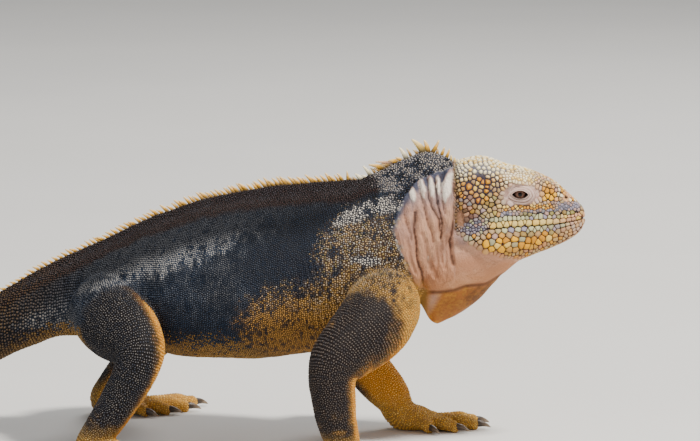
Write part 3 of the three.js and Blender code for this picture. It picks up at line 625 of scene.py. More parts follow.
def is_limb_place(points):
    return (points[:, 0] < LIMBS_FRONT_X) | (points[:, 2] < PAWS_TOP_Z)


def patch(x, h, centre, radii, turn=0, edge=0.35):
    """1 inside an ellipse of the side view, fading to 0 across its edge."""
    ahead, up = x - centre[0], h - centre[1]
    cosine, sine = math.cos(math.radians(turn)), math.sin(math.radians(turn))
    reach = np.hypot((ahead * cosine + up * sine) / radii[0], (up * cosine - ahead * sine) / radii[1])
    return 1 - smooth(reach, 1 - edge, 1 + edge)


def groove(distance, width):
    return np.exp(-((distance / width) ** 2))


# Folds, creases and pits of the skin

# The loose folds of the neck in the side view. Each crease between them is a line of places with its
# depth and its width, and each top is the middle, the radii and the turn of a raised bulge painted pale as a
# highlight.
NECK_CREASES = [
    ([(42, 204), (45, 190), (49, 178), (50, 172)], 0.8, 1.3),
    ([(53.5, 196), (52.1, 183), (53.8, 169), (55, 158), (59.4, 141), (60, 134)], 1.15, 1.4),
    ([(56, 220), (57.5, 211), (60, 202), (63, 189), (66.4, 178), (67, 171)], 0.85, 1.4),
    ([(62.7, 223), (63.9, 210), (67.5, 198), (72, 188.5), (73, 181)], 1.0, 1.4),
    ([(69.3, 222), (70.5, 206), (72.5, 196), (74.6, 184.4), (74, 174)], 1.1, 1.4),
    ([(75, 226), (74.4, 214), (75.4, 203), (77, 194)], 0.9, 1.3),
    ([(84.6, 231), (85, 222), (84.8, 193), (82.8, 177), (81.1, 170.5), (84.4, 153)], 1.2, 1.5),
    ([(64, 160), (65.6, 155), (69.7, 143.4)], 0.6, 1.3),
    ([(76.2, 186), (73.8, 169), (74.6, 155)], 0.4, 1.5),
    ([(58.2, 178), (63, 161), (65.6, 148)], 0.55, 1.4),
    ([(46.7, 174), (48.4, 158), (53.3, 146)], 0.5, 1.4),
    ([(34.4, 181), (41.8, 159), (50, 142), (58.2, 124)], 1.0, 2.0),
    ([(70, 168), (71, 158), (70, 147)], 0.35, 1.3),
    ([(78.5, 176), (79, 162), (77.5, 150)], 0.35, 1.4),
]
NECK_TOPS = [
    ((51.2, 211), (2.4, 7.5), 18), ((58.6, 215.5), (2.4, 9), 12), ((66, 216.5), (2.6, 9), 8),
    ((72, 217), (1.8, 7.5), 2), ((79.8, 217), (3.7, 13), -14),
]
FOLD_HEIGHT, FOLD_ROUNDING, TOP_HEIGHT, CREASE_DEPTH = 1.5, 2.5, 1.5, 1.1
fold_top_h = curve(
    (34, 183), (36, 191), (43, 206), (48, 216), (54, 222), (60, 225), (68, 227), (74, 226), (80, 231),
)
neck_rear_x = curve(
    (118, 61), (124, 58), (142, 50), (159, 42), (172, 36.5), (181, 34.5), (190, 36), (204, 43), (213, 48),
    (221, 54), (227, 66), (231, 80),
)
NECK_HEIGHTS = (112, 236)
throat_crease_h = curve((60, 131), (70, 130.5), (84, 132), (95, 135.5), (110, 137), (120, 142), (130, 149))
jaw_edge_h = curve((84, 182), (92, 176), (102, 168.5), (112, 164), (126, 160), (140, 158), (160, 160))
TYMPANUM = dict(centre=(90, 190.5), radii=(4, 7.2), turn=8)
FLANK_CREASES = dict(centre=(-26, 122), radii=(24, 34))
FLANK_SPACING = 5.4


def line_distance(x, h, line):
    """The distance in the side view from each place to a line of places."""
    nearest = np.full(len(x), 1e3)
    for (start_x, start_h), (end_x, end_h) in zip(line, line[1:]):
        ahead, up = end_x - start_x, end_h - start_h
        t = np.clip(((x - start_x) * ahead + (h - start_h) * up) / (ahead * ahead + up * up), 0, 1)
        nearest = np.minimum(nearest, np.hypot(x - start_x - t * ahead, h - start_h - t * up))
    return nearest


def neck_folds(points):
    """Where the neck's loose skin is, its creases' depth, its folds' fullness and nearness to their tops."""
    x, h = side_view(points)
    low, high = NECK_HEIGHTS
    near_it = (x > 26) & (x < 92) & (h > low) & (h < high) & (points[:, 2] > low)
    where, crease, full, top = (np.zeros(len(x)) for _ in range(4))
    neck = points[near_it]
    x, h = side_view(neck)
    x = x + 0.9 * noise(neck * [1, 1, 0.6], 9, 5) + 0.35 * noise(neck, 3.5, 8)
    h = h + 1.5 * noise(neck, 9, 7)
    rear = x + 2.2 * rough_noise(neck * [1, 1, 0.7], 6, 9)
    loose = smooth(rear, neck_rear_x(h) - 3.5, neck_rear_x(h) + 4.5) * (1 - smooth(neck[:, 0], 83.5, 86))
    upper = h + 2.6 * rough_noise(neck * [1, 1, 0.5], 4, 10)
    where[near_it] = loose * smooth(h, 124, 146) * (1 - smooth(upper, fold_top_h(x) - 1, fold_top_h(x) + 3))
    deepest, nearest = np.zeros(len(x)), np.full(len(x), 1e3)
    for line, depth, width in NECK_CREASES:
        distance = line_distance(x, h, line)
        deepest = np.maximum(deepest, depth * groove(distance, width))
        nearest = np.minimum(nearest, distance + 1.5 * (1 - min(depth, 1)))
    crease[near_it] = deepest
    full[near_it] = 1 - np.exp(-((nearest / FOLD_ROUNDING) ** 2))
    top[near_it] = np.max([patch(x, h, *place, edge=0.45) for place in NECK_TOPS], axis=0)
    return where, crease, full, top


def throat_crease(x, h):
    return groove(h - throat_crease_h(x), 1.5) * between(x, 66, 122, 6)


def on_trunk(points):
    s, left = path_place(points)
    return 1 - smooth(np.abs(left) - body_width(s), 3, 9)


def flank_creases(points):
    x, h = side_view(points)
    where = patch(x, h, **FLANK_CREASES) * on_trunk(points)
    sway = 2.6 * noise(points * [1, 1, 0.4], 14, 31)
    wave = np.abs(np.sin(np.pi * (x + 0.22 * (h - 120) + sway) / FLANK_SPACING))
    return where, wave ** 0.6


def mouth_line(points):
    """How far each point lies above the line of the mouth, and how much it is on the lips."""
    x = points[:, 0]
    lips = smooth(x, MOUTH_CORNER_X - 3, MOUTH_CORNER_X + 6) * (x < SNOUT_X + 2)
    return points[:, 2] - mouth_z(x), lips


NOSTRIL_X, NOSTRIL_PLACE = 176.6, 3.1
NOSTRILS = np.array([head_point(NOSTRIL_X, NOSTRIL_PLACE, side) for side in (1, -1)])
EYES = np.array([[EYE_X, side * EYE_Y, EYE_Z] for side in (1, -1)])


# How deep each crease or pit is, and how high each rim or swelling.
THROAT_CREASE_DEPTH, FLANK_CREASE_DEPTH, MOUTH_DEPTH, DRUM_DEPTH = 1.5, 1.3, 1.1, 0.9
NOSTRIL_RIM, NOSTRIL_DEPTH, EYE_DEPTH, LOOSE_HEIGHT = 0.8, 2.4, 4.2, 0.9


def relief(points):
    """How far the skin stands out from its smooth shape."""
    x, h = side_view(points)
    folded, crease, full, top = neck_folds(points)
    fine = 0.3 * rough_noise(points * [1, 1, 0.3], 3, 19)
    rise = folded * (FOLD_HEIGHT * (full - 0.5) + TOP_HEIGHT * top + fine)
    rise -= CREASE_DEPTH * crease * np.maximum(folded, smooth(x, 78, 81))
    rise -= THROAT_CREASE_DEPTH * throat_crease(x, h)
    creased, wave = flank_creases(points)
    rise += FLANK_CREASE_DEPTH * creased * (wave - 0.6)
    above, lips = mouth_line(points)
    on_head = smooth(x, 86, 90) * (h > 150)
    rise -= MOUTH_DEPTH * groove(above, 0.8) * lips * on_head
    rise -= DRUM_DEPTH * patch(x, h, **TYMPANUM)
    for nostril in NOSTRILS:
        distance = np.linalg.norm(points - nostril, axis=1)
        rise += NOSTRIL_RIM * groove(distance - 2.7, 1.1) - NOSTRIL_DEPTH * groove(distance, 1.3)
    for eye in EYES:
        distance = np.hypot(x - eye[0], points[:, 2] - eye[2])
        rise -= EYE_DEPTH * (1 - smooth(distance, 4.5, 9)) * (points[:, 1] * eye[1] > 0) * on_head
    loose = (1 - smooth(x, 80, 90)) * smooth(points[:, 2], 20, 50)
    rise += LOOSE_HEIGHT * loose * rough_noise(points * [1, 1, 0.6], 20, 21)
    return rise


# Skin

SKIN_VOXEL = 1.15
SKIN_TRIANGLES = 190000
SEAM_ROUNDS, FOLD_ROUNDS = 14, 2
# The lengths and the sides of the tubes that the skin is made over.
LIMB_STEPS, PALM_STEPS, DIGIT_STEPS = (60, 48), (24, 36), (24, 20)
# How strongly each place is smoothed, and how far that reaches round the two joints nearest the body.
PLAIN_EASE, SHOULDER_EASE, ROOT_EASE, POUCH_EASE, WRIST_EASE = 0.12, 0.9, 0.8, 0.8, 0.6
SHOULDER_REACH, ROOT_REACH, REACH_EDGE = 58, 56, 0.4


def soften(points, edges, weights, rounds):
    """Draws each point towards its neighbours by its weight."""
    one, other = edges.T
    count = np.bincount(one, minlength=len(points)) + np.bincount(other, minlength=len(points))
    for _ in range(rounds):
        middle = np.stack([
            np.bincount(one, points[other, k], len(points)) + np.bincount(other, points[one, k], len(points))
            for k in range(3)
        ], -1) / np.maximum(count, 1)[:, None]
        points = points + (middle - points) * weights[:, None]
    return points


def near(points, centre, radius, edge):
    distance = np.linalg.norm((points - centre) / radius, axis=-1)
    return 1 - smooth(distance, 1 - edge, 1)


def joint_weight(points):
    """Where limbs and the throat pouch grow out of the body and the skin runs over the seam."""
    weight = np.full(len(points), PLAIN_EASE)
    for limb in LIMBS.values():
        root, shoulder = (np.array(joint) for joint in limb["joints"][:2])
        shoulder = shoulder * [1, 0.8, 1]
        weight = np.maximum(weight, SHOULDER_EASE * near(points, shoulder, SHOULDER_REACH, REACH_EDGE))
        weight = np.maximum(weight, ROOT_EASE * near(points, root, ROOT_REACH, REACH_EDGE))
    pouch = between(points[:, 0], 50, 146, 4) * between(points[:, 2], 100, 178, 8)
    wrists = 1 - smooth(points[:, 2], 26, 40)
    return np.maximum.reduce([weight, POUCH_EASE * pouch, WRIST_EASE * wrists * (points[:, 2] > 1)])


def bared(points):
    """1 where no scales cover the skin, which keeps its fine folds there."""
    folded = neck_folds(points)[0]
    face = smooth(points[:, 0], 60, 84) * (points[:, 2] > 100)
    return np.maximum(smooth(folded, 0.05, 0.3), face)


def build_skin():
    parts = trunk_lofts()
    for limb in LIMBS.values():
        parts.append(tube_loft(limb["tube"], *LIMB_STEPS))
        parts.append(tube_loft(limb["palm"], *PALM_STEPS))
        parts += [tube_loft(digit, *DIGIT_STEPS) for digit in limb["digits"]]
    skin = joined("skin", parts)
    with_modifier(skin, "REMESH", mode="VOXEL", voxel_size=SKIN_VOXEL * MM)
    edges = rows_of(skin.data.edges, "vertices", 2, np.int32)
    points = points_of(skin.data)
    points = soften(points, edges, joint_weight(points), SEAM_ROUNDS)
    move_points(skin.data, points)
    points = points + normals_of(skin.data) * relief(points)[:, None]
    points = soften(points, edges, 0.5 * neck_folds(points)[0], FOLD_ROUNDS)
    move_points(skin.data, points)
    covered = skin.vertex_groups.new(name="covered")
    level = (1 - bared(points)).round(1)
    for weight in np.unique(level):
        covered.add(np.flatnonzero(level == weight).tolist(), float(weight), "REPLACE")
    triangles = sum(len(polygon.vertices) - 2 for polygon in skin.data.polygons)
    share = SKIN_TRIANGLES / triangles
    with_modifier(skin, "DECIMATE", ratio=share, vertex_group="covered", vertex_group_factor=1.5)
    skin.vertex_groups.clear()
    with_modifier(skin, "TRIANGULATE")
    points = points_of(skin.data)
    points[:, 2] = np.maximum(points[:, 2], 0)
    move_points(skin.data, points)
    return skin


# Colours and markings


def shade(code):
    """A colour code as the linear red, green and blue that Blender reckons with."""
    value = np.array([int(code[i:i + 2], 16) for i in (0, 2, 4)]) / 255
    return np.where(value <= 0.04045, value / 12.92, ((value + 0.055) / 1.055) ** 2.4)


SHADES = {name: shade(code) for name, code in dict(
    slate="263850", deep_slate="162233", blue_black="13161f", brown_black="231c1b", soot="0e0b0b",
    dust="b0aaa2", pale_dust="dcd6ca", rust="553026", iris="7d5a49", olive="8a7e54", gold="b48a46",
    bright_gold="e4ac3e", mustard="8a6a34", amber="ca862e", orange="bc7630", dark_gold="64481f",
    umber="423022", bark="32281f", tan_dot="b89c72", cream="fcedc4", yellow_cream="eac264",
    yellow="e8ac28", ochre="cc8c26", gilt="f2b01c", peach="d8a47c", lilac="978e9c", lilac_grey="706d78",
    violet="433b47", rose="b08e82", pale_rose="c9aea3", sage="a29e7c", pale_sage="bcb88e",
    lip_cream="e2c676", moss="8c8046", charcoal="32333a", sand="aa8a64", neck="ae8068",
    neck_pale="e4d8ca", neck_dark="553629", throat="b88262", throat_pale="cb9c7c",
    pouch="a3642a", pouch_dark="573420", pouch_gold="c08430", horn="3b2f26", horn_tip="8a7660",
).items()}


def mix(a, b, share):
    a, b = (SHADES[c] if isinstance(c, str) else c for c in (a, b))
    return a + (b - a) * np.asarray(share)[..., None]


def pick(names, chance):
    """One of several shades for each point, by a number from 0 to 1."""
    table = np.array([SHADES[name] for name in names.split()])
    return table[np.minimum((chance * len(table)).astype(int), len(table) - 1)]


# A hide is three colours for each point: the scale's tip, the scale, and the skin between scales.
# Each is the name of a shade or an array of colours.


def lay(hide, share, scale, gap, tip=None):
    """Lays other colours over a hide, by a share for each point."""
    return over(hide, (scale if tip is None else tip, scale, gap), share)


def over(hide, other, share):
    return tuple(mix(a, b, share) for a, b in zip(hide, other))


def speckled(share, grain, chance, softness=0.12):
    """Which scales take a marking: the larger the share the more, in clumps of the grain."""
    return smooth(share * (1 + 0.7 * grain) - chance, -softness, softness) * smooth(share, 0.02, 0.15)


# The markings in the side view: the middle of each, its radii, its turn and how far its edge fades.
MARKS = dict(
    # a band of dust along the flank that also stands for a painted sheen where light falls on it
    flank_dust_and_sheen=((-152, 164), (84, 15), 19, 0.6),
    back_dust=((-66, 196), (70, 6), 8, 0.6),
    rib_dust=((-90, 146), (90, 34), 0, 0.6),
    dark_flank=((-46, 160), (47, 22), 17, 0.22),
    rib_gold=((-44, 108), (50, 34), 0, 0.45),
    shoulder_gold=((14, 156), (44, 46), 0, 0.4),
    armpit_gold=((-4, 112), (34, 34), 0, 0.6),
    shoulder=((14, 134), (26, 13), 28, 0.5),
    pale_by_neck=((32, 202), (13, 7), 15, 0.5),
    pale_withers=((10, 196), (26, 7), 24, 0.35),
    pale_shoulder=((14, 156), (13, 4), -8, 0.6),
    ashy_nape=((66, 232), (20, 14), 0, 0.6),
    ashy_neck_base=((28, 214), (10, 12), 0, 0.6),
    dark_nape=((54, 220), (18, 9), 0, 0.35),
    throat_shade=((92, 180), (8, 12), 0, 0.6),
    pouch_side=((105, 128), (15, 9), 30, 0.6),
    pouch_low=((90, 116), (20, 12), 0, 0.35),
    pouch_rear_edge=((61, 117), (5, 19), -34, 0.7),
    pouch_keel=((90, 107), (30, 5), 34, 0.35),
    green_cheek=((113, 192), (7, 9), 0, 0.6),
    round_ear=((93, 194), (10, 17), 0, 0.5),
    snout_ridge=((160, 218), (13, 6), -32, 0.35),
    eye_ring=((139.3, 209), (17, 10.5), 0, 0.2),
)


def mark(name, x, h):
    return patch(x, h, *MARKS[name])


# The grains of the colours: how far each is drawn out along x, y and z, its lumps' size and its seed.
EVEN = (1, 1, 1)
GRAINS = dict(
    trunk_broad=(EVEN, 26, 11), trunk_middling=(EVEN, 8, 12), trunk_streaks=((1, 0.5, 0.3), 3.4, 13),
    front_clumps=((1, 0.7, 0.4), 2.2, 14), front_middling=(EVEN, 9, 15), front_lumps=(EVEN, 6, 16),
    neck_middling=(EVEN, 8, 41), neck_fine=(EVEN, 2.6, 42), neck_wide=((1, 1, 0.4), 12, 43),
    neck_streaks=((1, 0.5, 0.16), 1.8, 44), neck_drips=((1, 0.5, 0.12), 3.2, 45),
    throat_fine=(EVEN, 3.0, 51), throat_broad=((0.6, 1, 1.4), 14, 52), head_fine=(EVEN, 4, 61),
    limb_fine=(EVEN, 5, 71), limb_edge=(EVEN, 7, 77), edge_broad=(EVEN, 8, 98), edge_fine=(EVEN, 3.5, 99),
)


def grain_of(name, points):
    stretch, size, seed = GRAINS[name]
    return rough_noise(points * stretch, size, seed)


def trunk_hide(points, chance):
    """Blue-black flanks with dusty tips, dust and painted sheen in a band, a dark band under the crest, gold
    by arm and belly.
    """
    x, h = side_view(points)
    s, _ = path_place(points)
    broad, middling = grain_of("trunk_broad", points), grain_of("trunk_middling", points)
    streaks = grain_of("trunk_streaks", points)
    second = hashed((points * 50).astype(int), 5)
    light = mix("deep_slate", "slate", smooth(broad + 0.4 * streaks + 0.5 * (chance - 0.5), -0.7, 0.9))
    hide = mix(light, "dust", 0.16 * second * smooth(streaks, -0.3, 0.6)), light, SHADES["blue_black"]
    # Pale patches of dust; the band along the flank also stands for a painted sheen of light on it.
    dust = np.maximum.reduce([
        1.25 * mark("flank_dust_and_sheen", x, h + 7 * streaks),
        0.3 * mark("back_dust", x, h),
        0.12 * mark("rib_dust", x, h),
        0.5 * smooth(-x, 205, 260) * (h > 90),
    ])
    amount = np.clip(dust * (0.95 + 1.2 * streaks + 1.0 * (second - 0.5)), 0, 1)
    hide = lay(hide, amount, mix(light, "dust", 0.8), "slate", mix("dust", "pale_dust", chance))
    dark = 0.8 * mark("dark_flank", x + 4 * middling, h + 5 * streaks)
    hide = lay(hide, dark, mix("slate", "charcoal", chance), "blue_black", mix("charcoal", "bark", second))
    drop = body_top(s) - points[:, 2] + 2.5 * middling
    upper = (1 - smooth(drop, 26, 44)) * (s > 66)
    hide = lay(hide, 0.9 * upper, mix("blue_black", "deep_slate", 0.4 + 0.6 * chance), "soot")
    band = (1 - smooth(drop, 12, 17)) * (s > 66)
    pale_tip = mix("rust", "lilac_grey", (0.2 + 0.7 * second) * (1 - smooth(drop, 6, 14)))
    hide = lay(hide, band, mix("soot", "brown_black", chance), "soot", pale_tip)
    rear = smooth(s, 300, 420)
    hide = lay(hide, 0.85 * rear * smooth(broad + chance - 0.5, -0.7, 0.4), "umber", "soot", "mustard")
    whorl = smooth(np.sin(s / 9.5 + 0.6 * broad), 0.1, 0.9) * smooth(s, 380, 460)
    hide = lay(hide, 0.6 * whorl * (chance > 0.3), "bark", "soot", "tan_dot")
    share_up = (points[:, 2] - body_bottom(s)) / (body_top(s) - body_bottom(s))
    belly = 1 - smooth(share_up / body_waist(s), 0.05, 0.7)
    low_gold = speckled(1.1 * belly, middling, chance) * (1 - 0.7 * rear)
    hide = lay(hide, low_gold, mix("mustard", "gold", chance), "umber")
    return front_mottling(hide, points, chance, second, streaks)


def front_mottling(hide, points, chance, second, streaks):
    """Olive, gold and orange in clumps over the front of the flank, the shoulder and the chest."""
    x, h = side_view(points)
    clumps = 0.7 * grain_of("front_clumps", points) + 0.35 * streaks + 0.3 * grain_of("front_lumps", points)
    middling = grain_of("front_middling", points)
    gold = np.maximum.reduce([
        0.5 * mark("rib_gold", x, h), 0.62 * mark("shoulder_gold", x, h), 0.75 * mark("armpit_gold", x, h),
    ])
    low = smooth(168 - h + 0.3 * (x - 10) + 9 * middling, 0, 50)
    warm = smooth(134 - h + 8 * middling, 0, 30)
    goldness = np.clip(low * 1.2 + 0.3 * (chance - 0.5), 0, 1)
    grain = mix(pick("tan_dot dust olive tan_dot", chance), "gold", goldness)
    grain = mix(grain, "orange", 0.25 * warm)
    grain = mix(grain, "dust", 0.45 * (second > 0.55) * (1 - warm))
    under = mix(mix("slate", "charcoal", chance), "umber", 0.7 * low)
    hide = lay(hide, 0.85 * smooth(gold, 0.1, 0.5), under, "blue_black")
    spots = speckled(gold * (1 + 0.3 * low * warm), 1.3 * clumps, 0.35 + 0.3 * second, 0.2)
    hide = lay(hide, spots, grain, mix("umber", "dark_gold", low))
    chest = smooth(x + 0.6 * (128 - h) + 5 * middling, 20, 50) * (1 - smooth(h + 6 * middling, 140, 172))
    mottled = smooth(h, 108, 124) * smooth(62 - x, 0, 20)
    golden = 0.9 * chest * (1 - mottled * (1 - smooth(clumps, -0.4, 0.3)))
    golden_tip = mix("amber", "yellow_cream", chance)
    hide = lay(hide, golden, pick("gold amber ochre gold", chance), "gold", golden_tip)
    shoulder = 0.3 * mark("shoulder", x, h)
    hide = lay(hide, shoulder, pick("sand olive moss sand", chance), "umber", "tan_dot")
    pale = np.maximum.reduce([
        0.9 * mark("pale_by_neck", x, h),
        0.55 * mark("pale_withers", x, h),
        0.7 * mark("pale_shoulder", x, h),
    ])
    crumbs = speckled(pale, 1.4 * clumps, 0.3 + 0.3 * second)
    return lay(hide, crumbs, mix("dust", "pale_dust", chance), "charcoal", "neck_pale")


def neck_hide(points, chance):
    """Blue-black nape with pale grains, over pinkish folds, painted light on their tops and shade in creases.
    """
    x, h = side_view(points)
    folded, crease, full, top = neck_folds(points)
    middling, fine, wide = (grain_of("neck_" + kind, points) for kind in ("middling", "fine", "wide"))
    high = smooth(points[:, 2] - body_top(NAPE_X - x), -30, -8)
    ashy = 0.4 + 0.24 * high + 0.4 * mark("ashy_nape", x, h)
    ashy = ashy + 0.35 * mark("ashy_neck_base", x, h) - 0.35 * mark("dark_nape", x, h)
    clump = smooth(1.3 * middling + 0.6 * fine, -0.6, 0.5)
    grains = speckled(1.8 * ashy * (0.15 + 0.85 * clump), 0, chance)
    tip = mix(pick("dust sand tan_dot lilac_grey sand", chance), "gold", 0.5 * high * (chance > 0.75))
    dull_tip = mix("slate", "lilac_grey", 0.3 * chance)
    nape = dull_tip, mix("blue_black", "slate", 0.5 * chance), SHADES["soot"]
    nape = lay(nape, grains, mix("lilac_grey", "dust", chance), "charcoal", mix(tip, "pale_dust", 0.3))
    streaks, drips = grain_of("neck_streaks", points), grain_of("neck_drips", points)
    fold_edge = smooth(h + 3 * drips, fold_top_h(x) - 17, fold_top_h(x) - 5)
    skin = mix("neck", "throat_pale", smooth(wide + 0.5 * streaks, -0.5, 0.9))
    # The colour of the creases, painted there as the shade that falls in them.
    depth = mix("neck_dark", "blue_black", 0.75 * smooth(h, 178, 208))
    for tone, share in (
        ("rose", 0.55 * smooth(h, 180, 215)),
        ("lilac_grey", 0.4 * smooth(-wide + 0.6 * streaks, 0.0, 0.8) * smooth(h, 160, 190)),
        ("throat", 0.7 * (1 - smooth(h, 138, 172))),
        ("neck_dark", 0.35 * smooth(streaks, 0.15, 0.7) * smooth(h, 140, 170)),
        # darker towards the creases: painted shade
        ("neck_dark", 0.15 * (1 - smooth(full, 0, 0.6))),
        ("lilac_grey", 0.5 * smooth(h + 4 * drips, 196, 212) * (1 - top)),
        ("slate", 0.85 * (fold_edge * (1 - smooth(top, 0.15, 0.5)))),
        # pale tops of the folds: painted highlight
        ("neck_pale", smooth(top + 0.6 * drips + 0.4 * streaks, 0.3, 1.1)),
        # creases darkened: painted shade
        (depth, 0.95 * smooth(crease + 0.15 * fine, 0.6, 1.0)),
    ):
        skin = mix(skin, tone, share)
    return lay(nape, smooth(folded + 0.15 * fine, 0.25, 0.7), skin, skin)


def throat_hide(points, chance):
    """Smooth pinkish throat above an orange-brown pouch with a dark patch and a pale rear edge."""
    x, h = side_view(points)
    fine, broad = grain_of("throat_fine", points), grain_of("throat_broad", points)
    throat = mix("throat", "throat_pale", smooth(broad + 0.4 * fine, -0.4, 0.9))
    for tone, share in (
        ("neck_dark", 0.4 * smooth(groove(broad, 0.05) + 0.4 * fine, 0.55, 1.2)),
        ("lilac_grey", 0.55 * smooth(mark("throat_shade", x, h) + 0.3 * fine, 0.2, 0.9)),
        ("rose", 0.4 * smooth(h, 150, 172)),
        ("orange", 0.3 * (1 - smooth(h - throat_crease_h(x), 0, 16))),
    ):
        throat = mix(throat, tone, share)
    pouch = mix("pouch", "pouch_gold", smooth(0.8 * fine + 1.6 * (chance - 0.5), -0.3, 0.8))
    dark = np.maximum(mark("pouch_side", x, h), 0.5 * mark("pouch_low", x, h))
    pouch = mix(pouch, "pouch_dark", 0.85 * dark * smooth(fine, -1.1, 0.5))
    edge = mark("pouch_rear_edge", x, h) + 0.6 * mark("pouch_keel", x, h)
    pouch = mix(pouch, "pale_rose", 0.6 * np.minimum(edge, 1))
    light = mix(throat, pouch, smooth(throat_crease_h(x) - h + 1.2 * fine, -1, 3))
    # Darker along the crease over the pouch: painted shade in the crease.
    light = mix(light, "neck_dark", 0.7 * throat_crease(x, h))
    # The gap between scales is the throat's colour darkened: painted shade between scales.
    return mix(light, "throat_pale", 0.25), light, light * 0.72


KNOB_SPREAD = 0.62


def head_hide(points, chance):
    """Cream and gold knobs on dark skin behind, pale snout, lilac band, cream lips and ochre jaw."""
    x, h = side_view(points)
    above, lips = mouth_line(points)
    fine = grain_of("head_fine", points)
    zones = head_zones(points)
    crown, brow, jaw = zones["crown"], zones["brow"], zones["jaw"]
    front = smooth(x, 156, 182)
    lip = between(above, 0.2, 5.2, 0.8) * lips
    second_row = between(above, 5.8, 8.4, 0.8) * lips * (1 - front)
    under_lip = between(-above, 0.2, 5.2, 1.5) * smooth(x, MOUTH_CORNER_X + 4, MOUTH_CORNER_X + 12)
    under_eye = between(x, 118, 166, 5) * between(h - 0.06 * (x - 140), 197.5, 201, 1.5)
    deep = jaw * smooth(-above, 13, 20) * (1 - smooth(x, 146, 160))
    cheek = pick("ochre sand moss mustard sage sand tan_dot olive rose", chance)
    hide = mix(cheek, "cream", 0.1), cheek, SHADES["brown_black"]
    # From the rear to the front and down: the shades that the scales draw from, the gap and the share.
    for names, gap, share, *tip in (
        ("sage moss gold moss lilac", "charcoal", 0.7 * mark("green_cheek", x, h)),
        ("mustard neck lilac_grey mustard neck_dark", "neck_dark", 0.85 * mark("round_ear", x, h)),
        ("lilac_grey rose lilac lilac_grey sage", "violet", zones["corner"]),
        ("cream cream yellow_cream cream peach", "violet", crown, "cream"),
        # top of the crown: pale scales, with lighter gaps as a painted highlight where light falls on top
        ("cream cream yellow_cream cream", "lilac_grey", crown * smooth(h, 222, 230), "cream"),
        ("yellow_cream sand ochre yellow_cream", "violet", zones["temple"]),
        ("cream peach yellow_cream cream sand ochre", "umber", np.maximum(zones["snout"], brow)),
        # brow: pale scales, made paler still as a painted highlight on top of the head
        ("cream neck_pale cream yellow_cream", "tan_dot", 0.9 * brow, "cream"),
        ("rose peach sand yellow_cream", "violet", 0.8 * mark("snout_ridge", x, h)),
        ("yellow ochre gilt", "umber", zones["bracket"]),
        ("lilac lilac_grey lilac rose", "lilac_grey", zones["loreal"]),
        ("rose pale_rose", "rose", mark("eye_ring", x, h)),
        ("yellow_cream ochre yellow_cream sand", "umber", 0.9 * under_eye),
        ("lip_cream yellow_cream lip_cream lip_cream", "neck_dark", lip),
        ("peach throat_pale yellow_cream", "neck_dark", lip * front),
        ("pale_sage sage lilac pale_sage", "bark", second_row),
        ("sage pale_sage sage pale_sage lilac", "neck_dark", under_lip * (1 - 0.7 * front)),
        ("ochre sage yellow_cream gilt yellow ochre", "neck_dark", jaw),
        ("gilt ochre yellow yellow_cream gilt", "dark_gold", 0.9 * deep),
        ("sand ochre tan_dot throat gold", "neck_dark", 0.9 * zones["chin"]),
        ("pale_rose peach peach", "neck_dark", 0.6 * smooth(x, 172, 186) * (above < 0)),
    ):
        hide = lay(hide, share, pick(names, chance), gap, *tip)
    knobs = sum(
        patch(x, h, (knob_x, knob_h), (KNOB_SPREAD * size, KNOB_SPREAD * size), edge=0.3)
        for knob_x, knob_h, size in TEMPLE_KNOBS
    )
    hide = lay(hide, np.minimum(knobs, 1), pick("orange amber ochre", chance), "violet", "gilt")
    drum = smooth(patch(x, h, **TYMPANUM) + 0.3 * fine, 0.1, 0.9)
    hide = lay(hide, drum, mix("dark_gold", "neck", 0.4 + 0.5 * chance), "dark_gold")
    # A dark band where the neck's skin meets the back of the head: painted shade in that crease.
    hide = lay(hide, 0.7 * (1 - smooth(x + fine, 86, 90)) * between(h, 178, 236, 6), "umber", "soot")
    for nostril in NOSTRILS:
        distance = np.hypot(x - nostril[0], points[:, 2] - nostril[2]) + 9 * (points[:, 1] * nostril[1] < 0)
        hide = lay(hide, 0.8 * (1 - smooth(distance, 3.2, 4.8)), "peach", "rose", "pale_rose")
        # The inside of the nostril is painted near black: painted shade in its pit.
        hide = lay(hide, 1 - smooth(distance, 1.0, 1.7), "soot", "soot")
    # A dark line along the mouth: painted shade in the crease between the lips.
    return lay(hide, 0.95 * groove(above, 0.85) * lips, "brown_black", "soot")


def limb_hide(points, normals, chance):
    """Dark outer side with pale dots, orange to gold on the inner side and the front."""
    x, _ = side_view(points)
    side = np.sign(points[:, 1])
    fine = grain_of("limb_fine", points)
    warm = smooth(-0.75 * normals[:, 1] * side + 0.75 * normals[:, 0] + 0.12 * fine, -0.25, 0.42)
    hind = smooth(-x, 80, 110)
    hand = 1 - smooth(points[:, 2] + 4 * fine, 16, 36)
    dot = mix("bark", "dust", 0.05 + 0.42 * chance)
    hide = dot, mix("charcoal", "umber", chance), SHADES["brown_black"]
    bright_tip = mix("bright_gold", "cream", 0.4 * chance)
    hide = lay(hide, warm, pick("orange amber gold amber", chance), "mustard")
    hide = lay(hide, 0.9 * smooth(warm, 0.6, 1), mix("amber", "bright_gold", chance), "amber", bright_tip)
    hide = lay(hide, 0.6 * hind * (1 - warm), "deep_slate", "soot", mix("slate", "dust", chance))
    toes = pick("bright_gold gold bright_gold yellow_cream", chance)
    return lay(hide, hand * (0.92 - 0.3 * hind), toes, "gold")


SHOULDER_STEPS = slice(7, None)


def limb_share(points):
    """How much of the skin at each point belongs to a limb rather than to the body."""
    share = np.zeros(len(points))
    places = np.linspace(0, 1, 24)
    blur = 0.12 * grain_of("limb_edge", points)
    for limb in LIMBS.values():
        bones = spline(limb["joints"], places)[SHOULDER_STEPS]
        radii = limb["tube"].radius(places)[SHOULDER_STEPS]
        reach = [np.linalg.norm(points - bone, axis=1) / radius for bone, radius in zip(bones, radii)]
        distance = np.min(reach, axis=0) + blur
        wrist = limb["joints"][-1]
        hand = (1 - smooth(points[:, 2], 24, 34)) * (np.abs(points[:, 1] - wrist[1]) < 70)
        hand = hand * (1 - smooth(np.linalg.norm((points - wrist)[:, :2], axis=1), 95, 105))
        share = np.maximum(share, np.maximum(1 - smooth(distance, 1.0, 1.22), hand))
    return share


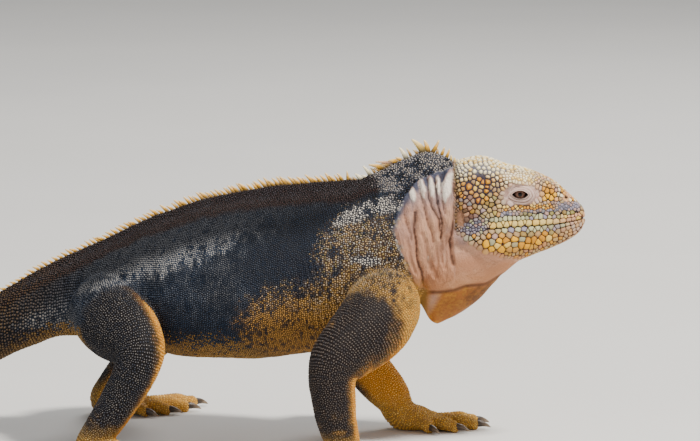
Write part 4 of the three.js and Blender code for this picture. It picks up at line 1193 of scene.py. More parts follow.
def hide_at(points, normals, chance):
    """The colours of tip, scale and gap anywhere on the animal."""
    x, h = side_view(points)
    fine = grain_of("edge_fine", points)
    ragged = x + 3 * fine + 5 * grain_of("edge_broad", points)
    fore = smooth(ragged, neck_rear_x(h) - 3, neck_rear_x(h) + 4) * smooth(h, 126, 146)
    nape = smooth(x + 0.6 * (h - 205) + 6 * fine, 24, 38) * smooth(h, 192, 204)
    raised = is_raised(points)
    inner = on_trunk(points) * raised
    throat = smooth(x, 60, 68) * (1 - smooth(h, 140, 160)) * inner
    throat = np.maximum(throat, smooth(x, 83.5, 86) * raised)
    head = smooth(x + 0.8 * fine, 83.8, 86.2) * smooth(h - jaw_edge_h(x) + 2 * fine, -1.5, 2)
    head = np.maximum(head, smooth(x, 86, 90) * smooth(h, 222, 226)) * raised
    neck = np.maximum(fore * inner, nape * raised)
    hide = over(trunk_hide(points, chance), neck_hide(points, chance), neck)
    hide = over(hide, throat_hide(points, chance), throat)
    hide = over(hide, head_hide(points, chance), head)
    return over(hide, limb_hide(points, normals, chance), limb_share(points) * is_limb_place(points))


# Roots of scales: the place, the way it lies, its spot on the unwrapped skin, its size and its shape

ROOT = np.dtype([
    ("at", float, 3), ("lie", float, 3), ("uv", float, 2), ("piece", int), ("size", float),
    ("height", float), ("gap", float), ("flat", float), ("lean", float),
])
COAT_PIECES = ["scales_" + area for area in (
    "head", "neck", "shoulders", "ribs", "flanks", "loins", "tail",
    "right_arm", "left_arm", "right_leg", "left_leg",
)]
HEAD_COAT, LIMB_COAT = 0, 7


def roots(at, lie, uv, piece, size, height, gap, flat=0.5, lean=0.0):
    made = np.zeros(len(at), ROOT)
    values = dict(at=at, lie=lie, uv=uv, piece=piece, size=size, height=height, gap=gap, flat=flat, lean=lean)
    for key, value in values.items():
        made[key] = value
    return made


def spread_along(line, spacing, offset):
    """Even places along a line of points, and the share of its length at each."""
    lengths = np.concatenate([[0], np.cumsum(np.linalg.norm(np.diff(line, axis=0), axis=1))])
    count = max(round(lengths[-1] / spacing), 1)
    share = (np.arange(count) + offset) / count
    return np.stack([np.interp(share * lengths[-1], lengths, line[:, k]) for k in range(3)], -1), share


# How close the rows of the body stand, and where one piece of its coat ends and the next starts.
body_spacing = curve((2, 1.7), (84, 1.75), (260, 1.85), (338, 2.6), (500, 3.2), (700, 2.8), (845, 1.8))
BODY_COAT_ENDS = [84, 140, 196, 262, 338, 850]
ROW_SHARE = 0.87
# How far a scale strays from its place in the row, as a share of the spacing.
UNEVEN = 0.16
body_uneven = curve((2, 0.4), (70, 0.36), (110, 0.24), (160, 0.19), (850, 0.16))
UV_EDGE = 0.01


def uv_spots(along, around):
    spots = np.stack(np.broadcast_arrays(along, around), -1)
    return UV_EDGE + (1 - 2 * UV_EDGE) * spots


def body_roots():
    made = []
    s, row = 3.0, 0
    turn = np.linspace(0, 1, 161)
    rng = np.random.default_rng(5)
    while s < TAIL_TIP - 2:
        piece = int(np.searchsorted(BODY_COAT_ENDS, s))
        start = ([0] + BODY_COAT_ENDS)[piece]
        spacing = float(body_spacing(s))
        tail = smooth(s, 330, 400)
        _, forward, _ = path_frame(np.array(s))
        for side in (1, -1):
            line = body_point(np.full(turn.shape, s), turn, side)
            at, share = spread_along(line, spacing, 0.25 + 0.5 * (row % 2))
            stray = float(body_uneven(s))
            at = at + rng.uniform(-1, 1, at.shape) * stray * spacing
            size = spacing * rng.uniform(1 - stray, 1 + 0.8 * stray, len(at))
            uv = uv_spots((s - start) / (BODY_COAT_ENDS[piece] - start), 0.5 + side * share / 2)
            made.append(roots(
                at, -forward, uv, piece + 1, size=size, height=size * (0.3 + 0.06 * tail),
                gap=0.3, flat=0.35 + 0.25 * smooth(share, 0.75, 0.9), lean=0.12 + 0.2 * tail,
            ))
        s += spacing * ROW_SHARE
        row += 1
    return np.concatenate(made)


def tube_roots(tube, piece, spacing, tile, tiles, height, lean):
    """Rows of scales round a limb or a digit, on their own strip of the unwrapped skin."""
    bones = spline(tube.points, np.linspace(0, 1, 60))
    length = np.linalg.norm(np.diff(bones, axis=0), axis=1).sum()
    count = max(round(length / (spacing * ROW_SHARE)), 2)
    angles = np.linspace(0, 2 * np.pi, 61)
    made = []
    rng = np.random.default_rng(tile + 20 * piece)
    for row, t in enumerate(np.linspace(0, 1, count)):
        line = tube.point(np.full(angles.shape, t), angles)
        at, share = spread_along(line, spacing, 0.25 + 0.5 * (row % 2))
        at = at + rng.uniform(-1, 1, at.shape) * 1.6 * UNEVEN * spacing
        ends = np.clip([t - 0.02, t + 0.02], 0, 1)
        lie = unit(np.diff(spline(tube.points, ends), axis=0))
        uv = uv_spots(t, (tile + 0.04 + 0.92 * share) / tiles)
        made.append(roots(at, lie, uv, piece, spacing, height, gap=0.32, flat=0.3, lean=lean))
    return np.concatenate(made)


LIMB_SPACING = 1.9
# A limb's unwrapped skin has this many strips: half for the limb itself, then the palm and the digits.
LIMB_TILES = 12


def limb_roots():
    made = []
    for i, limb in enumerate(LIMBS.values()):
        piece = LIMB_COAT + i
        made.append(tube_roots(limb["tube"], piece, LIMB_SPACING, 0, LIMB_TILES / 6, 0.8, 0.1))
        made.append(tube_roots(limb["palm"], piece, LIMB_SPACING, 6, LIMB_TILES, 0.65, 0.15))
        for k, digit in enumerate(limb["digits"]):
            made.append(tube_roots(digit, piece, LIMB_SPACING, 7 + k, LIMB_TILES, 0.6, 0.25))
    return np.concatenate(made)


# Head scales: rows along the lips, and the rest thrown at random and then evened out

LIP_ROWS = [
    dict(above=2.6, spacing=6.0, front=3.7, size=5.6, start=MOUTH_CORNER_X + 5, shift=0),
    dict(above=6.7, spacing=3.6, front=2.6, size=3.4, start=MOUTH_CORNER_X + 6, shift=0.5),
    dict(above=-2.2, spacing=5.2, front=3.2, size=4.6, start=MOUTH_CORNER_X + 3, shift=0.3),
    dict(above=-6.4, spacing=5.6, front=3.4, size=5.2, start=MOUTH_CORNER_X + 2, shift=0.8),
]
LIPS_END = 188.5
# The large knobs of the temple in the side view, each with its size.
TEMPLE_KNOBS = [
    (96.7, 215.6, 6.8), (111.5, 220, 6.6), (104.1, 205.5, 6.0), (110.7, 213, 4.6), (93, 207.5, 4.2),
]
# The height, the gap and the flatness of the plates along the lips and of the knobs.
LIP_SHAPE, KNOB_SHAPE = (0.75, 0.2, 0.9), (2.0, 1.2, 0.1)


def lip_seeds():
    made = []
    rng = np.random.default_rng(2)
    for row in LIP_ROWS:
        x = row["start"] + row["shift"] * row["spacing"]
        while x < LIPS_END:
            tight = smooth(x, 160, 188)
            z = mouth_z(x) + row["above"] * (1 - 0.4 * tight)
            place = 6 - row["above"] / 6 if row["above"] > 0 else 8 - row["above"] / 5
            y = float(head_point(x, place, 1)[1])
            made += [(x, side * y, z, row["size"] * (1 - 0.3 * tight)) for side in (1, -1)]
            x += (row["spacing"] + (row["front"] - row["spacing"]) * tight) * rng.uniform(0.88, 1.12)
    for x, h, size in TEMPLE_KNOBS:
        ring = head_point(np.full(200, x), np.linspace(0, 6, 200), 1)
        _, y, z = ring[np.argmin(np.abs(seen_height(ring) - h))]
        made += [(x, side * y, z, size) for side in (1, -1)]
    made = np.array(made)
    return made[:, :3], made[:, 3]


lore_low_h = curve((124, 193.5), (150, 196.5), (186, 198.5))
lore_high_h = curve((124, 200), (150, 201.5), (170, 203.5), (186, 203))
jaw_depth = curve((100, 20), (112, 27), (130, 31), (150, 26), (170, 19), (186, 12))


def head_zones(points):
    """The shares of the head's scaly zones at each point, in the order that they lie over each other."""
    x, h = side_view(points)
    above, _ = mouth_line(points)
    low = smooth(-above - jaw_depth(x) * 0.62, 0, 3)
    return dict(
        crown=smooth(h + 0.12 * (x - 110), 215, 221) * (1 - smooth(x, 140, 156)),
        temple=patch(x, h, (107, 217), (17, 8), turn=-6),
        snout=smooth(x, 150, 158) * smooth(h, 201, 206),
        brow=patch(x, h, (140, 223), (18, 5), turn=-6),
        bracket=patch(x, h, (162, 210), (5.5, 9), turn=14),
        loreal=between(x, 124, 186, 4) * between(h, lore_low_h(x), lore_high_h(x), 1.5),
        jaw=smooth(-above, 6, 8) * smooth(x, 104, 110),
        chin=np.clip(low + smooth(x, 160, 176) * smooth(-above, 4, 6), 0, 1),
        corner=patch(x, h, (103, 184), (14, 6), turn=10),
    )


# For each zone: the size of its scales, their height, the gap between them and how flat they are.
HEAD_SCALES = dict(
    cheek=(3.7, 0.75, 0.3, 0.65), crown=(3.9, 1.8, 0.5, 0.05), temple=(3.6, 1.0, 0.6, 0.35),
    snout=(3.2, 0.75, 0.3, 0.5), brow=(2.6, 0.6, 0.3, 0.4), bracket=(3.9, 0.8, 0.3, 0.5),
    loreal=(2.2, 0.5, 0.25, 0.5), jaw=(5.4, 0.85, 0.25, 0.8), chin=(3.3, 0.4, 0.3, 0.7),
    corner=(2.4, 0.45, 0.35, 0.5),
)


def head_scale_plan(points):
    plan = np.tile(HEAD_SCALES["cheek"], (len(points), 1))
    for zone, share in head_zones(points).items():
        plan = plan + (np.array(HEAD_SCALES[zone]) - plan) * share[:, None]
    plan[:, :2] *= 1 - 0.4 * (1 - smooth(points[:, :1], 86, 95))
    return plan


def scattered(candidates, sizes, fixed, fixed_sizes, room):
    """Numbers of the candidates that keep their own size apart from each other and from fixed ones."""
    cell_size = sizes.max()
    taken = {}

    def cell_of(point):
        return tuple(np.floor(point / cell_size).astype(int))

    def room_for(point, size):
        own = cell_of(point)
        for step in np.ndindex(3, 3, 3):
            cell = tuple(place + shift - 1 for place, shift in zip(own, step))
            for other, other_size in taken.get(cell, []):
                if math.dist(point, other) < room * (size + other_size):
                    return False
        return True

    for point, size in zip(fixed, fixed_sizes):
        taken.setdefault(cell_of(point), []).append((point, size))
    chosen = []
    for i, (point, size) in enumerate(zip(candidates, sizes)):
        if room_for(point, size):
            taken.setdefault(cell_of(point), []).append((point, size))
            chosen.append(i)
    return chosen


HEAD_CANDIDATES = 26000
EVENING_ROUNDS = 4
ROOM, LAST_ROOM = 0.4, 0.36


def tree_of(points):
    tree = KDTree(len(points))
    for i, point in enumerate(points):
        tree.insert(point, i)
    tree.balance()
    return tree


def neighbours(points, queries, count):
    """The nearest points to each query, as an array of their numbers."""
    tree = tree_of(points)
    return np.array([[j for _, j, _ in tree.find_n(query, count)] for query in queries])


HEAD_COAT_REAR = 85.5


def head_rear(points):
    """Where the coat of the neck ends and that of the head starts."""
    return HEAD_COAT_REAR + 1.8 * noise(points, 7, 4)


def scaled_head(points):
    """Where the head has scales: not on the eyelids, the ear drum or the throat."""
    x, h = side_view(points)
    eye = patch(x, h, (139.3, 210), (15.2, 9), edge=0.02) * (np.abs(points[:, 1]) > 14)
    drum = patch(x, h, **TYMPANUM, edge=0.02)
    throat = h < jaw_edge_h(x) - 1
    nose = np.min([np.linalg.norm(points - nostril, axis=1) for nostril in NOSTRILS], axis=0)
    return (eye < 0.5) & (drum < 0.5) & ~throat & (nose > 3.6) & (x > head_rear(points))


def head_roots(surface):
    rng = np.random.default_rng(7)
    x = rng.uniform(HEAD_COAT_REAR - 2, SNOUT_X, HEAD_CANDIDATES)
    place = rng.uniform(0, CHIN_PLACE, HEAD_CANDIDATES)
    side = rng.choice([1, -1], HEAD_CANDIDATES)
    cloud, _, _ = surface.land(head_point(x, place, 1) * np.stack([0 * x + 1, side, 0 * x + 1], -1))
    above, lips = mouth_line(cloud)
    cloud = cloud[scaled_head(cloud) & ((np.abs(above) > 2) | (lips < 0.3))]
    girth = head_top(cloud[:, 0]) - chin_z(cloud[:, 0]) + 2 * jaw_width(cloud[:, 0])
    fixed, fixed_sizes = lip_seeds()
    fixed, _, _ = surface.land(fixed)
    sizes = head_scale_plan(cloud)[:, 0]
    seeds = cloud[scattered(cloud, sizes, fixed, fixed_sizes, ROOM)]
    weight = girth / sizes ** 4
    for left in range(EVENING_ROUNDS, 0, -1):
        every = np.concatenate([fixed, seeds])
        owner = neighbours(every, cloud, 1)[:, 0] - len(fixed)
        own = owner >= 0
        total = np.bincount(owner[own], weight[own], len(seeds))
        middle = [np.bincount(owner[own], (cloud[own, k] * weight[own]), len(seeds)) for k in range(3)]
        middle = np.stack(middle, -1) / np.maximum(total, 1e-9)[:, None]
        seeds = np.where(total[:, None] > 0, middle, seeds)
        seeds, _, _ = surface.land(seeds)
        if left == 2:
            taken = np.concatenate([fixed, seeds])
            taken_sizes = np.concatenate([fixed_sizes, head_scale_plan(seeds)[:, 0]])
            seeds = np.concatenate([seeds, cloud[scattered(cloud, sizes, taken, taken_sizes, LAST_ROOM)]])
    at = np.concatenate([fixed, seeds])
    plan = head_scale_plan(at)
    plan[: len(fixed), 0] = fixed_sizes
    plan[: len(fixed), 1:] = LIP_SHAPE
    plan[len(fixed) - 2 * len(TEMPLE_KNOBS):len(fixed), 1:] = KNOB_SHAPE
    along = (at[:, 0] - 80) / (SNOUT_X - 76)
    around = 0.5 + np.arctan2(at[:, 1], at[:, 2] - mouth_z(at[:, 0])) / (2.02 * np.pi)
    made = roots(at, (-1, 0, 0), uv_spots(along, around), HEAD_COAT, *plan.T)
    return made[scaled_head(at)]


class Surface:
    """The finished skin, on which everything else lands."""

    def __init__(self, mesh):
        self.points, self.normals = points_of(mesh), normals_of(mesh)
        self.faces = np.array([polygon.vertices[:] for polygon in mesh.polygons])
        self.tree = BVHTree.FromPolygons(self.points.tolist(), self.faces.tolist())

    def land(self, points):
        """The nearest place on the skin to each point, the way it faces and how far off it was."""
        at, face, off = [], [], []
        for point in points:
            place, _, number, distance = self.tree.find_nearest(point)
            at.append(place)
            face.append(number)
            off.append(distance)
        out = unit(self.normals[self.faces[face]].mean(axis=1))
        return np.array(at), out, np.array(off)


CROWDED = 0.66


def thin_out(coat):
    """Drops each scale that stands too close to one that comes before it."""
    tree = tree_of(coat["at"])
    kept = np.ones(len(coat), bool)
    for i, (at, size) in enumerate(zip(coat["at"], coat["size"])):
        kept[i] = not any(j < i and kept[j] for _, j, _ in tree.find_range(at, CROWDED * size))
    return coat[kept]


SEAM_REACH = 6.0
FLOOR_CLEAR = 1.3


def bare_places(points):
    x, h = side_view(points)
    folded = neck_folds(points)[0]
    throat = smooth(x, 60, 66) * (h < 160) * is_raised(points) * on_trunk(points)
    under_ear = (x > 80) & (h < 190) & is_raised(points)
    last_scales = 0.12 + 0.45 * hashed((points * 60).astype(int), 9)
    return (folded > last_scales) | (throat > 0.5) | under_ear | (x > head_rear(points))


def coat_roots(surface):
    """Every scale's root on the finished skin, with the way that it faces."""
    loose = np.concatenate([body_roots(), limb_roots()])
    at, _, off = surface.land(loose["at"])
    loose["at"] = at
    on_limb = (loose["piece"] >= LIMB_COAT) & is_limb_place(at)
    loose = loose[(off < SEAM_REACH) & (~bare_places(at) | on_limb) & (at[:, 2] > FLOOR_CLEAR)]
    coat = thin_out(np.concatenate([head_roots(surface), loose]))
    at, out, _ = surface.land(coat["at"])
    lie = unit(coat["lie"] - out * dot(coat["lie"], out)[:, None])
    return coat, at, out, lie


# Scales: domed plates that fit between their neighbours

WIDEST, FLAT_WIDEST = 0.6, 1.1
SUNK = 0.45


def outlines(coat, at, out, lie, sides):
    """How far each plate reaches from its middle in each direction before it meets a neighbour."""
    others = neighbours(at, at, 9)[:, 1:]
    step = at[others] - at[:, None]
    u, v = dot(step, lie[:, None]), dot(step, np.cross(out, lie)[:, None])
    apart = np.maximum(np.hypot(u, v), 1e-6)
    size = coat["size"]
    share = size[:, None] / (size[:, None] + size[others])
    angle = np.arange(sides) * 2 * np.pi / sides
    facing = (u[..., None] * np.cos(angle) + v[..., None] * np.sin(angle)) / apart[..., None]
    room = (apart * share - coat["gap"][:, None] / 2)[..., None]
    reach = np.where(facing > 0.25, room / np.maximum(facing, 0.25), np.inf).min(axis=1)
    widest = (WIDEST + (FLAT_WIDEST - WIDEST) * coat["flat"]) * size - coat["gap"] / 2
    return np.clip(reach, 0.15 * size[:, None], widest[:, None]), angle


# The levels of a plate, for a pointed one and a flat one: the share of its reach and of its height.
PLAIN_LEVELS = [((0.62, 0.75), (0.78, 0.85))]
FINE_LEVELS = [((0.78, 0.5), (0.95, 0.62)), ((0.42, 0.9), (0.68, 0.96))]


# The size of each plate's patch on the unwrapped skin.
UV_PATCH = 0.003


def write_uv(mesh, corners):
    layer = mesh.uv_layers.new(name="OFBake")
    layer.data.foreach_set("uv", corners.astype(np.float32).ravel())


def build_plates(name, coat, at, out, lie, reach, angle, hide, levels):
    """One mesh of plates: rings of corners that rise from under the skin to a tip."""
    across = np.cross(out, lie)
    ring = lie[:, None] * np.cos(angle)[:, None] + across[:, None] * np.sin(angle)[:, None]
    flat, height = coat["flat"][:, None, None], coat["height"][:, None, None]
    back = (coat["lean"] * coat["size"])[:, None, None] * lie[:, None]
    tip, light, dark = hide
    ring = ring * reach[..., None]
    rows = [at[:, None] + ring - out[:, None] * SUNK]
    # The foot of each plate is the gap's colour darkened: painted shade in the groove round it.
    tints = [dark * 0.7]
    shares = [1.0]
    for pointed, flattened in levels:
        share = pointed[0] + (flattened[0] - pointed[0]) * flat
        lift = pointed[1] + (flattened[1] - pointed[1]) * flat
        rows.append(at[:, None] + ring * share + out[:, None] * height * lift + back * lift)
        # The lowest raised ring leans towards the gap's colour: painted shade down the plate's sides.
        tints.append(light + (dark - light) * (0.3 if len(rows) == 2 else 0))
        shares.append(pointed[0])
    top = at[:, None] + out[:, None] * height + back
    # The tip is a little lighter than its own colour: a painted highlight.
    tints.append(tip * 1.05)
    count, sides = len(at), len(angle)
    points = np.concatenate(rows + [top], axis=1)
    per = points.shape[1]
    colours = np.repeat(np.stack(tints, 1), [sides] * len(rows) + [1], axis=1)
    # Along the mouth the plates sink and darken: painted shade in the mouth's crease.
    if levels is FINE_LEVELS:
        above, lips = mouth_line(points.reshape(-1, 3))
        mouth = (groove(above, 0.42) * lips).reshape(count, per, 1)
        points = points - out[:, None] * mouth
        colours = colours * (1 - 0.85 * mouth)
    k = np.arange(sides)
    after = (k + 1) % sides
    faces = []
    for level in range(len(rows) - 1):
        low, high = level * sides, (level + 1) * sides
        faces.append(np.stack([low + k, low + after, high + after], -1))
        faces.append(np.stack([low + k, high + after, high + k], -1))
    last = (len(rows) - 1) * sides
    faces.append(np.stack([last + k, last + after, 0 * k + per - 1], -1))
    every = (np.concatenate(faces)[None] + (np.arange(count) * per)[:, None, None]).reshape(-1, 3)
    piece = new_mesh(name, points.reshape(-1, 3), every)
    set_colour(piece.data, colours.reshape(-1, 3))
    circle = np.stack([np.cos(angle), np.sin(angle)], -1)
    spot = np.concatenate([circle * share for share in shares] + [[[0, 0]]])
    uv = coat["uv"][:, None] + UV_PATCH / 2 * spot
    write_uv(piece.data, uv.reshape(-1, 2)[every.ravel()])
    return piece


def build_coat(surface):
    coat, at, out, lie = coat_roots(surface)
    chance = np.random.default_rng(11).random(len(coat))
    hide = hide_at(at, out, chance)
    pieces = []
    for number, name in enumerate(COAT_PIECES):
        fine = number == HEAD_COAT
        reach, angle = outlines(coat, at, out, lie, 12 if fine else 6)
        own = coat["piece"] == number
        pieces.append(build_plates(
            name, coat[own], at[own], out[own], lie[own], reach[own], angle,
            [colours[own] for colours in hide], FINE_LEVELS if fine else PLAIN_LEVELS,
        ))
    return pieces


# Node trees


class Nodes:
    """A node tree with one way to add a node: its type, its settings, then what its sockets take."""

    def __init__(self, tree):
        self.tree = tree

    def feed(self, socket, value):
        value = value.socket if isinstance(value, Amount) else value
        if isinstance(value, bpy.types.NodeSocket):
            self.tree.links.new(value, socket)
        else:
            socket.default_value = value

    def add(self, kind, settings=None, inputs=None):
        node = self.tree.nodes.new(kind)
        for key, value in (settings or {}).items():
            setattr(node, key, value)
        for key, value in (inputs or {}).items():
            self.feed(node.inputs[key], value)
        return node.outputs


class Amount:
    """A number in a node tree, on which sums and products add their Math nodes."""

    def __init__(self, nodes, socket):
        self.nodes, self.socket = nodes, socket

    def math(self, operation, *values):
        made = self.nodes.add("ShaderNodeMath", {"operation": operation}, dict(enumerate(values)))
        return Amount(self.nodes, made["Value"])

    def __add__(self, other):
        return self.math("ADD", self, other)

    def __sub__(self, other):
        return self.math("SUBTRACT", self, other)

    def __rsub__(self, other):
        return self.math("SUBTRACT", other, self)

    def __mul__(self, other):
        return self.math("MULTIPLY", self, other)

    __radd__, __rmul__ = __add__, __mul__


# Crest: spines by Geometry Nodes, one on each point of a line along the ridge

SPINE_SIDES, SPINE_LEVELS = 8, 6
SPINE_BEND = 0.3
SPINE_TIP_SHARE = 0.07


def spine_tree():
    """Bent cones on the points of a mesh, stood up and sized by the points' own attributes."""
    tree = bpy.data.node_groups.new("spines", "GeometryNodeTree")
    face = tree.interface
    face.new_socket("Geometry", in_out="INPUT", socket_type="NodeSocketGeometry")
    for name in ("Width", "Length", "Bend"):
        face.new_socket(name, in_out="INPUT", socket_type="NodeSocketFloat")
    face.new_socket("Finish", in_out="INPUT", socket_type="NodeSocketMaterial")
    face.new_socket("Geometry", in_out="OUTPUT", socket_type="NodeSocketGeometry")
    nodes = Nodes(tree)
    given = tree.nodes.new("NodeGroupInput").outputs
    width, length, bend = (Amount(nodes, given[name]) for name in ("Width", "Length", "Bend"))
    cone = nodes.add("GeometryNodeMeshCone", {"fill_type": "TRIANGLE_FAN"}, {
        "Vertices": SPINE_SIDES, "Side Segments": SPINE_LEVELS, "Fill Segments": 1,
        "Radius Top": width * SPINE_TIP_SHARE, "Radius Bottom": width * 0.5, "Depth": length,
    })["Mesh"]
    place = nodes.add("GeometryNodeInputPosition")["Position"]
    parts = nodes.add("ShaderNodeSeparateXYZ", inputs={"Vector": place})
    x, y, z = (Amount(nodes, part) for part in parts.values())
    rise = z.math("DIVIDE", z, length)
    marked = nodes.add("GeometryNodeStoreNamedAttribute", {"data_type": "FLOAT"}, {
        "Geometry": cone, "Name": "rise", "Value": rise,
    })["Geometry"]
    shift = rise * rise * (length * bend)
    offset = nodes.add("ShaderNodeCombineXYZ", inputs={
        "X": x.math("MULTIPLY_ADD", x, rise, shift), "Y": y.math("MULTIPLY_ADD", y, rise, 0.0),
    })["Vector"]
    bent = nodes.add("GeometryNodeSetPosition", inputs={"Geometry": marked, "Offset": offset})["Geometry"]

    def own(name):
        vector = {"data_type": "FLOAT_VECTOR"}
        return nodes.add("GeometryNodeInputNamedAttribute", vector, {"Name": name})["Attribute"]

    turn = nodes.add("FunctionNodeAxesToRotation", {"primary_axis": "Z", "secondary_axis": "X"}, {
        "Primary Axis": own("up"), "Secondary Axis": own("back"),
    })["Rotation"]
    stood = nodes.add("GeometryNodeInstanceOnPoints", inputs={
        "Points": given["Geometry"], "Instance": bent, "Rotation": turn, "Scale": own("size"),
    })["Instances"]
    real = nodes.add("GeometryNodeRealizeInstances", inputs={"Geometry": stood})["Geometry"]
    dressed = {"Geometry": real, "Material": given["Finish"]}
    done = nodes.add("GeometryNodeSetMaterial", inputs=dressed)["Geometry"]
    tree.links.new(done, tree.nodes.new("NodeGroupOutput").inputs["Geometry"])
    return tree


SPINE_WIDTH, SPINE_LENGTH, SPINE_ROOT = 3.0, 6.0, 1.6
SPINE_TREE = spine_tree()


def build_spines(name, at, up, back, size, tint, finish):
    """One object of spines: size holds each spine's thickness, width and length in millimetres."""
    mesh = bpy.data.meshes.new(name)
    mesh.vertices.add(len(at))
    set_points(mesh, at)
    scale = size / np.array([SPINE_WIDTH, SPINE_WIDTH, SPINE_LENGTH])
    for key, values in (("up", up), ("back", back), ("size", scale), ("tint", tint)):
        attribute = mesh.attributes.new(key, "FLOAT_VECTOR", "POINT")
        attribute.data.foreach_set("vector", values.astype(np.float32).ravel())
    piece = add_object(name, mesh)
    modifier = piece.modifiers.new("spines", "NODES")
    modifier.node_group = SPINE_TREE
    values = dict(Width=SPINE_WIDTH * MM, Length=SPINE_LENGTH * MM, Bend=SPINE_BEND, Finish=finish)
    for socket in SPINE_TREE.interface.items_tree:
        if socket.in_out == "INPUT" and socket.name in values:
            modifier[socket.identifier] = values[socket.name]
    graph = bpy.context.evaluated_depsgraph_get()
    made = bpy.data.meshes.new_from_object(piece.evaluated_get(graph))
    piece.modifiers.remove(modifier)
    piece.data = made
    made.name = name
    made.shade_smooth()
    return piece


# The spines of the nape, from the back of the head: the place of each along the path, its length, its
# width, how far it leans back and its shade. Those over the back and tail follow in an even row.
NAPE_SPINES = [
    (3, 2.6, 3.2, 0.0, "cream"), (6, 3.6, 3.4, 0.1, "yellow_cream"), (9.2, 4.0, 3.2, 0.0, "yellow_cream"),
    (12.9, 7.6, 2.9, -0.1, "yellow"), (17, 7.0, 3.0, -0.25, "yellow"), (20.5, 4.6, 3.0, -0.2, "gold"),
    (24.5, 11.4, 3.6, -0.5, "yellow"), (28.2, 9.5, 4.6, 0.1, "yellow"), (32, 13.4, 6.2, 0.28, "yellow_cream"),
    (36.4, 5.0, 3.4, 0.1, "gold"), (42, 8.0, 2.6, -0.1, "gold"), (46, 10.4, 4.4, 0.0, "cream"),
    (50.2, 4.6, 4.0, 0.3, "yellow"), (53.5, 7.0, 4.6, 0.8, "yellow"), (57, 14.6, 3.0, 1.1, "peach"),
    (59.5, 8.5, 5.0, 0.7, "gold"), (63.5, 13.6, 4.2, 0.75, "yellow"), (67.5, 5.6, 3.0, 0.5, "gold"),
    (71.3, 5.4, 3.0, 0.1, "gold"), (75.6, 9.2, 3.8, 0.0, "cream"), (79.3, 3.2, 3.4, 0.1, "cream"),
    (83.4, 6.0, 4.6, 0.1, "cream"), (87.5, 3.4, 3.4, 0.2, "gold"), (91, 4.6, 3.2, 0.4, "gold"),
    (94.2, 7.6, 2.9, -0.2, "yellow"), (98.6, 7.4, 3.0, 0.35, "yellow"),
]
BACK_START, CREST_END = 101.5, 790
back_spine = curve((96, 7.4), (130, 8), (220, 7.4), (300, 6), (400, 4.8), (500, 3.8), (640, 2.7), (790, 1.4))
back_spacing = curve((96, 3.7), (340, 3.9), (500, 4.8), (790, 5.5))
BACK_LEAN, LEAN_VARIES, TILT_VARIES = 0.42, 0.2, 0.12
LENGTH_VARIES = 0.2
SPACING_FROM, SPACING_TO = 0.85, 1.15
BACK_SPINE_WIDTH, WIDTH_BY_LENGTH = 2.1, 0.16
SPINE_FLATNESS = 0.68


def crest_plan():
    """For every spine: its place along the path, length, width, lean and shade."""
    rng = np.random.default_rng(3)
    plan = [(s, length, width, lean, SHADES[name]) for s, length, width, lean, name in NAPE_SPINES]
    s = BACK_START
    while s < CREST_END:
        length = float(back_spine(s)) * (1 + rng.uniform(-LENGTH_VARIES, LENGTH_VARIES))
        lean = BACK_LEAN + rng.uniform(-LEAN_VARIES, LEAN_VARIES)
        shade_here = mix(mix("gilt", "bright_gold", rng.random()), "umber", 0.6 * smooth(s, 420, 640))
        plan.append((s, length, BACK_SPINE_WIDTH + WIDTH_BY_LENGTH * length, lean, shade_here))
        s += float(back_spacing(s)) * rng.uniform(SPACING_FROM, SPACING_TO)
    return [np.array(column) for column in zip(*plan)]


def ridge_frame(s):
    """Directions up from the ridge and back along it."""
    back = unit(body_point(s + 3, 0 * s, 1) - body_point(s - 3, 0 * s, 1))
    up = unit(np.array([0, 0, 1]) - back * back[:, 2:3])
    return up, back


def build_crest(surface, finish):
    s, length, width, lean, tint = crest_plan()
    tilt = np.random.default_rng(4).uniform(-TILT_VARIES, TILT_VARIES, len(s))
    up, back = ridge_frame(s)
    axis = unit(up + back * lean[:, None] + np.cross(up, back) * tilt[:, None])
    at, _, _ = surface.land(body_point(s, 0 * s, 1))
    size = np.stack([width, width * SPINE_FLATNESS, length + SPINE_ROOT], -1)
    back_out = unit(back - axis * dot(back, axis)[:, None])
    return build_spines("crest", at - axis * SPINE_ROOT, axis, back_out, size, tint, finish)


# Eyes: a ball with pupil, iris and dark surround, behind lids with folds that ring the opening

PUPIL, IRIS = 0.27, 0.6
POLE_TURN = 0.04
OPENING_LENGTH, OPENING_HEIGHT = 12.4, 6.2
LID_RADII = (16.2, 10.2)
LID_Y, LID_DEPTH = 19.6, 8.0
LID_LENGTH, LID_HEIGHT = 16.0, 10.8
LID_FOLDS, LID_FOLD_DEPTH = 3.8, 0.5
LID_MIDDLE_Z = EYE_Z - 0.9
# How high the lid's rim stands, how far it turns in behind the rim, and how far its outer edge sinks.
RIM_HEIGHT, RIM_TUCK, EDGE_DROP, EDGE_SUNK = 0.35, 2.2, 1.5, 0.7


def build_eye(name, side):
    turn = np.linspace(POLE_TURN, np.pi - POLE_TURN, 40)[:, None]
    around = np.linspace(0, 2 * np.pi, 64, endpoint=False)[None]
    ball = np.sin(turn) * np.cos(around), side * np.cos(turn) + 0 * around, np.sin(turn) * np.sin(around)
    points, faces = loft(np.stack(ball, -1))
    off_axis = np.linalg.norm(points[:, [0, 2]], axis=1)
    front = points[:, 1] * side > 0
    spokes = noise(unit(points) * [9, 9, 9] + 3, 1.0, 81)
    iris = mix("iris", "rust", smooth(spokes + 2 * off_axis - 0.9, -0.8, 0.8))
    colour = mix(iris, "soot", smooth(off_axis, IRIS - 0.08, IRIS + 0.02))
    colour = mix(colour, np.zeros(3), (1 - smooth(off_axis, PUPIL - 0.05, PUPIL)) * front)
    points = points * EYE_RADIUS * 0.99 + [EYE_X, side * EYE_Y, EYE_Z]
    piece = new_mesh(name, points, faces if side > 0 else faces[:, ::-1])
    set_colour(piece.data, colour)
    return piece


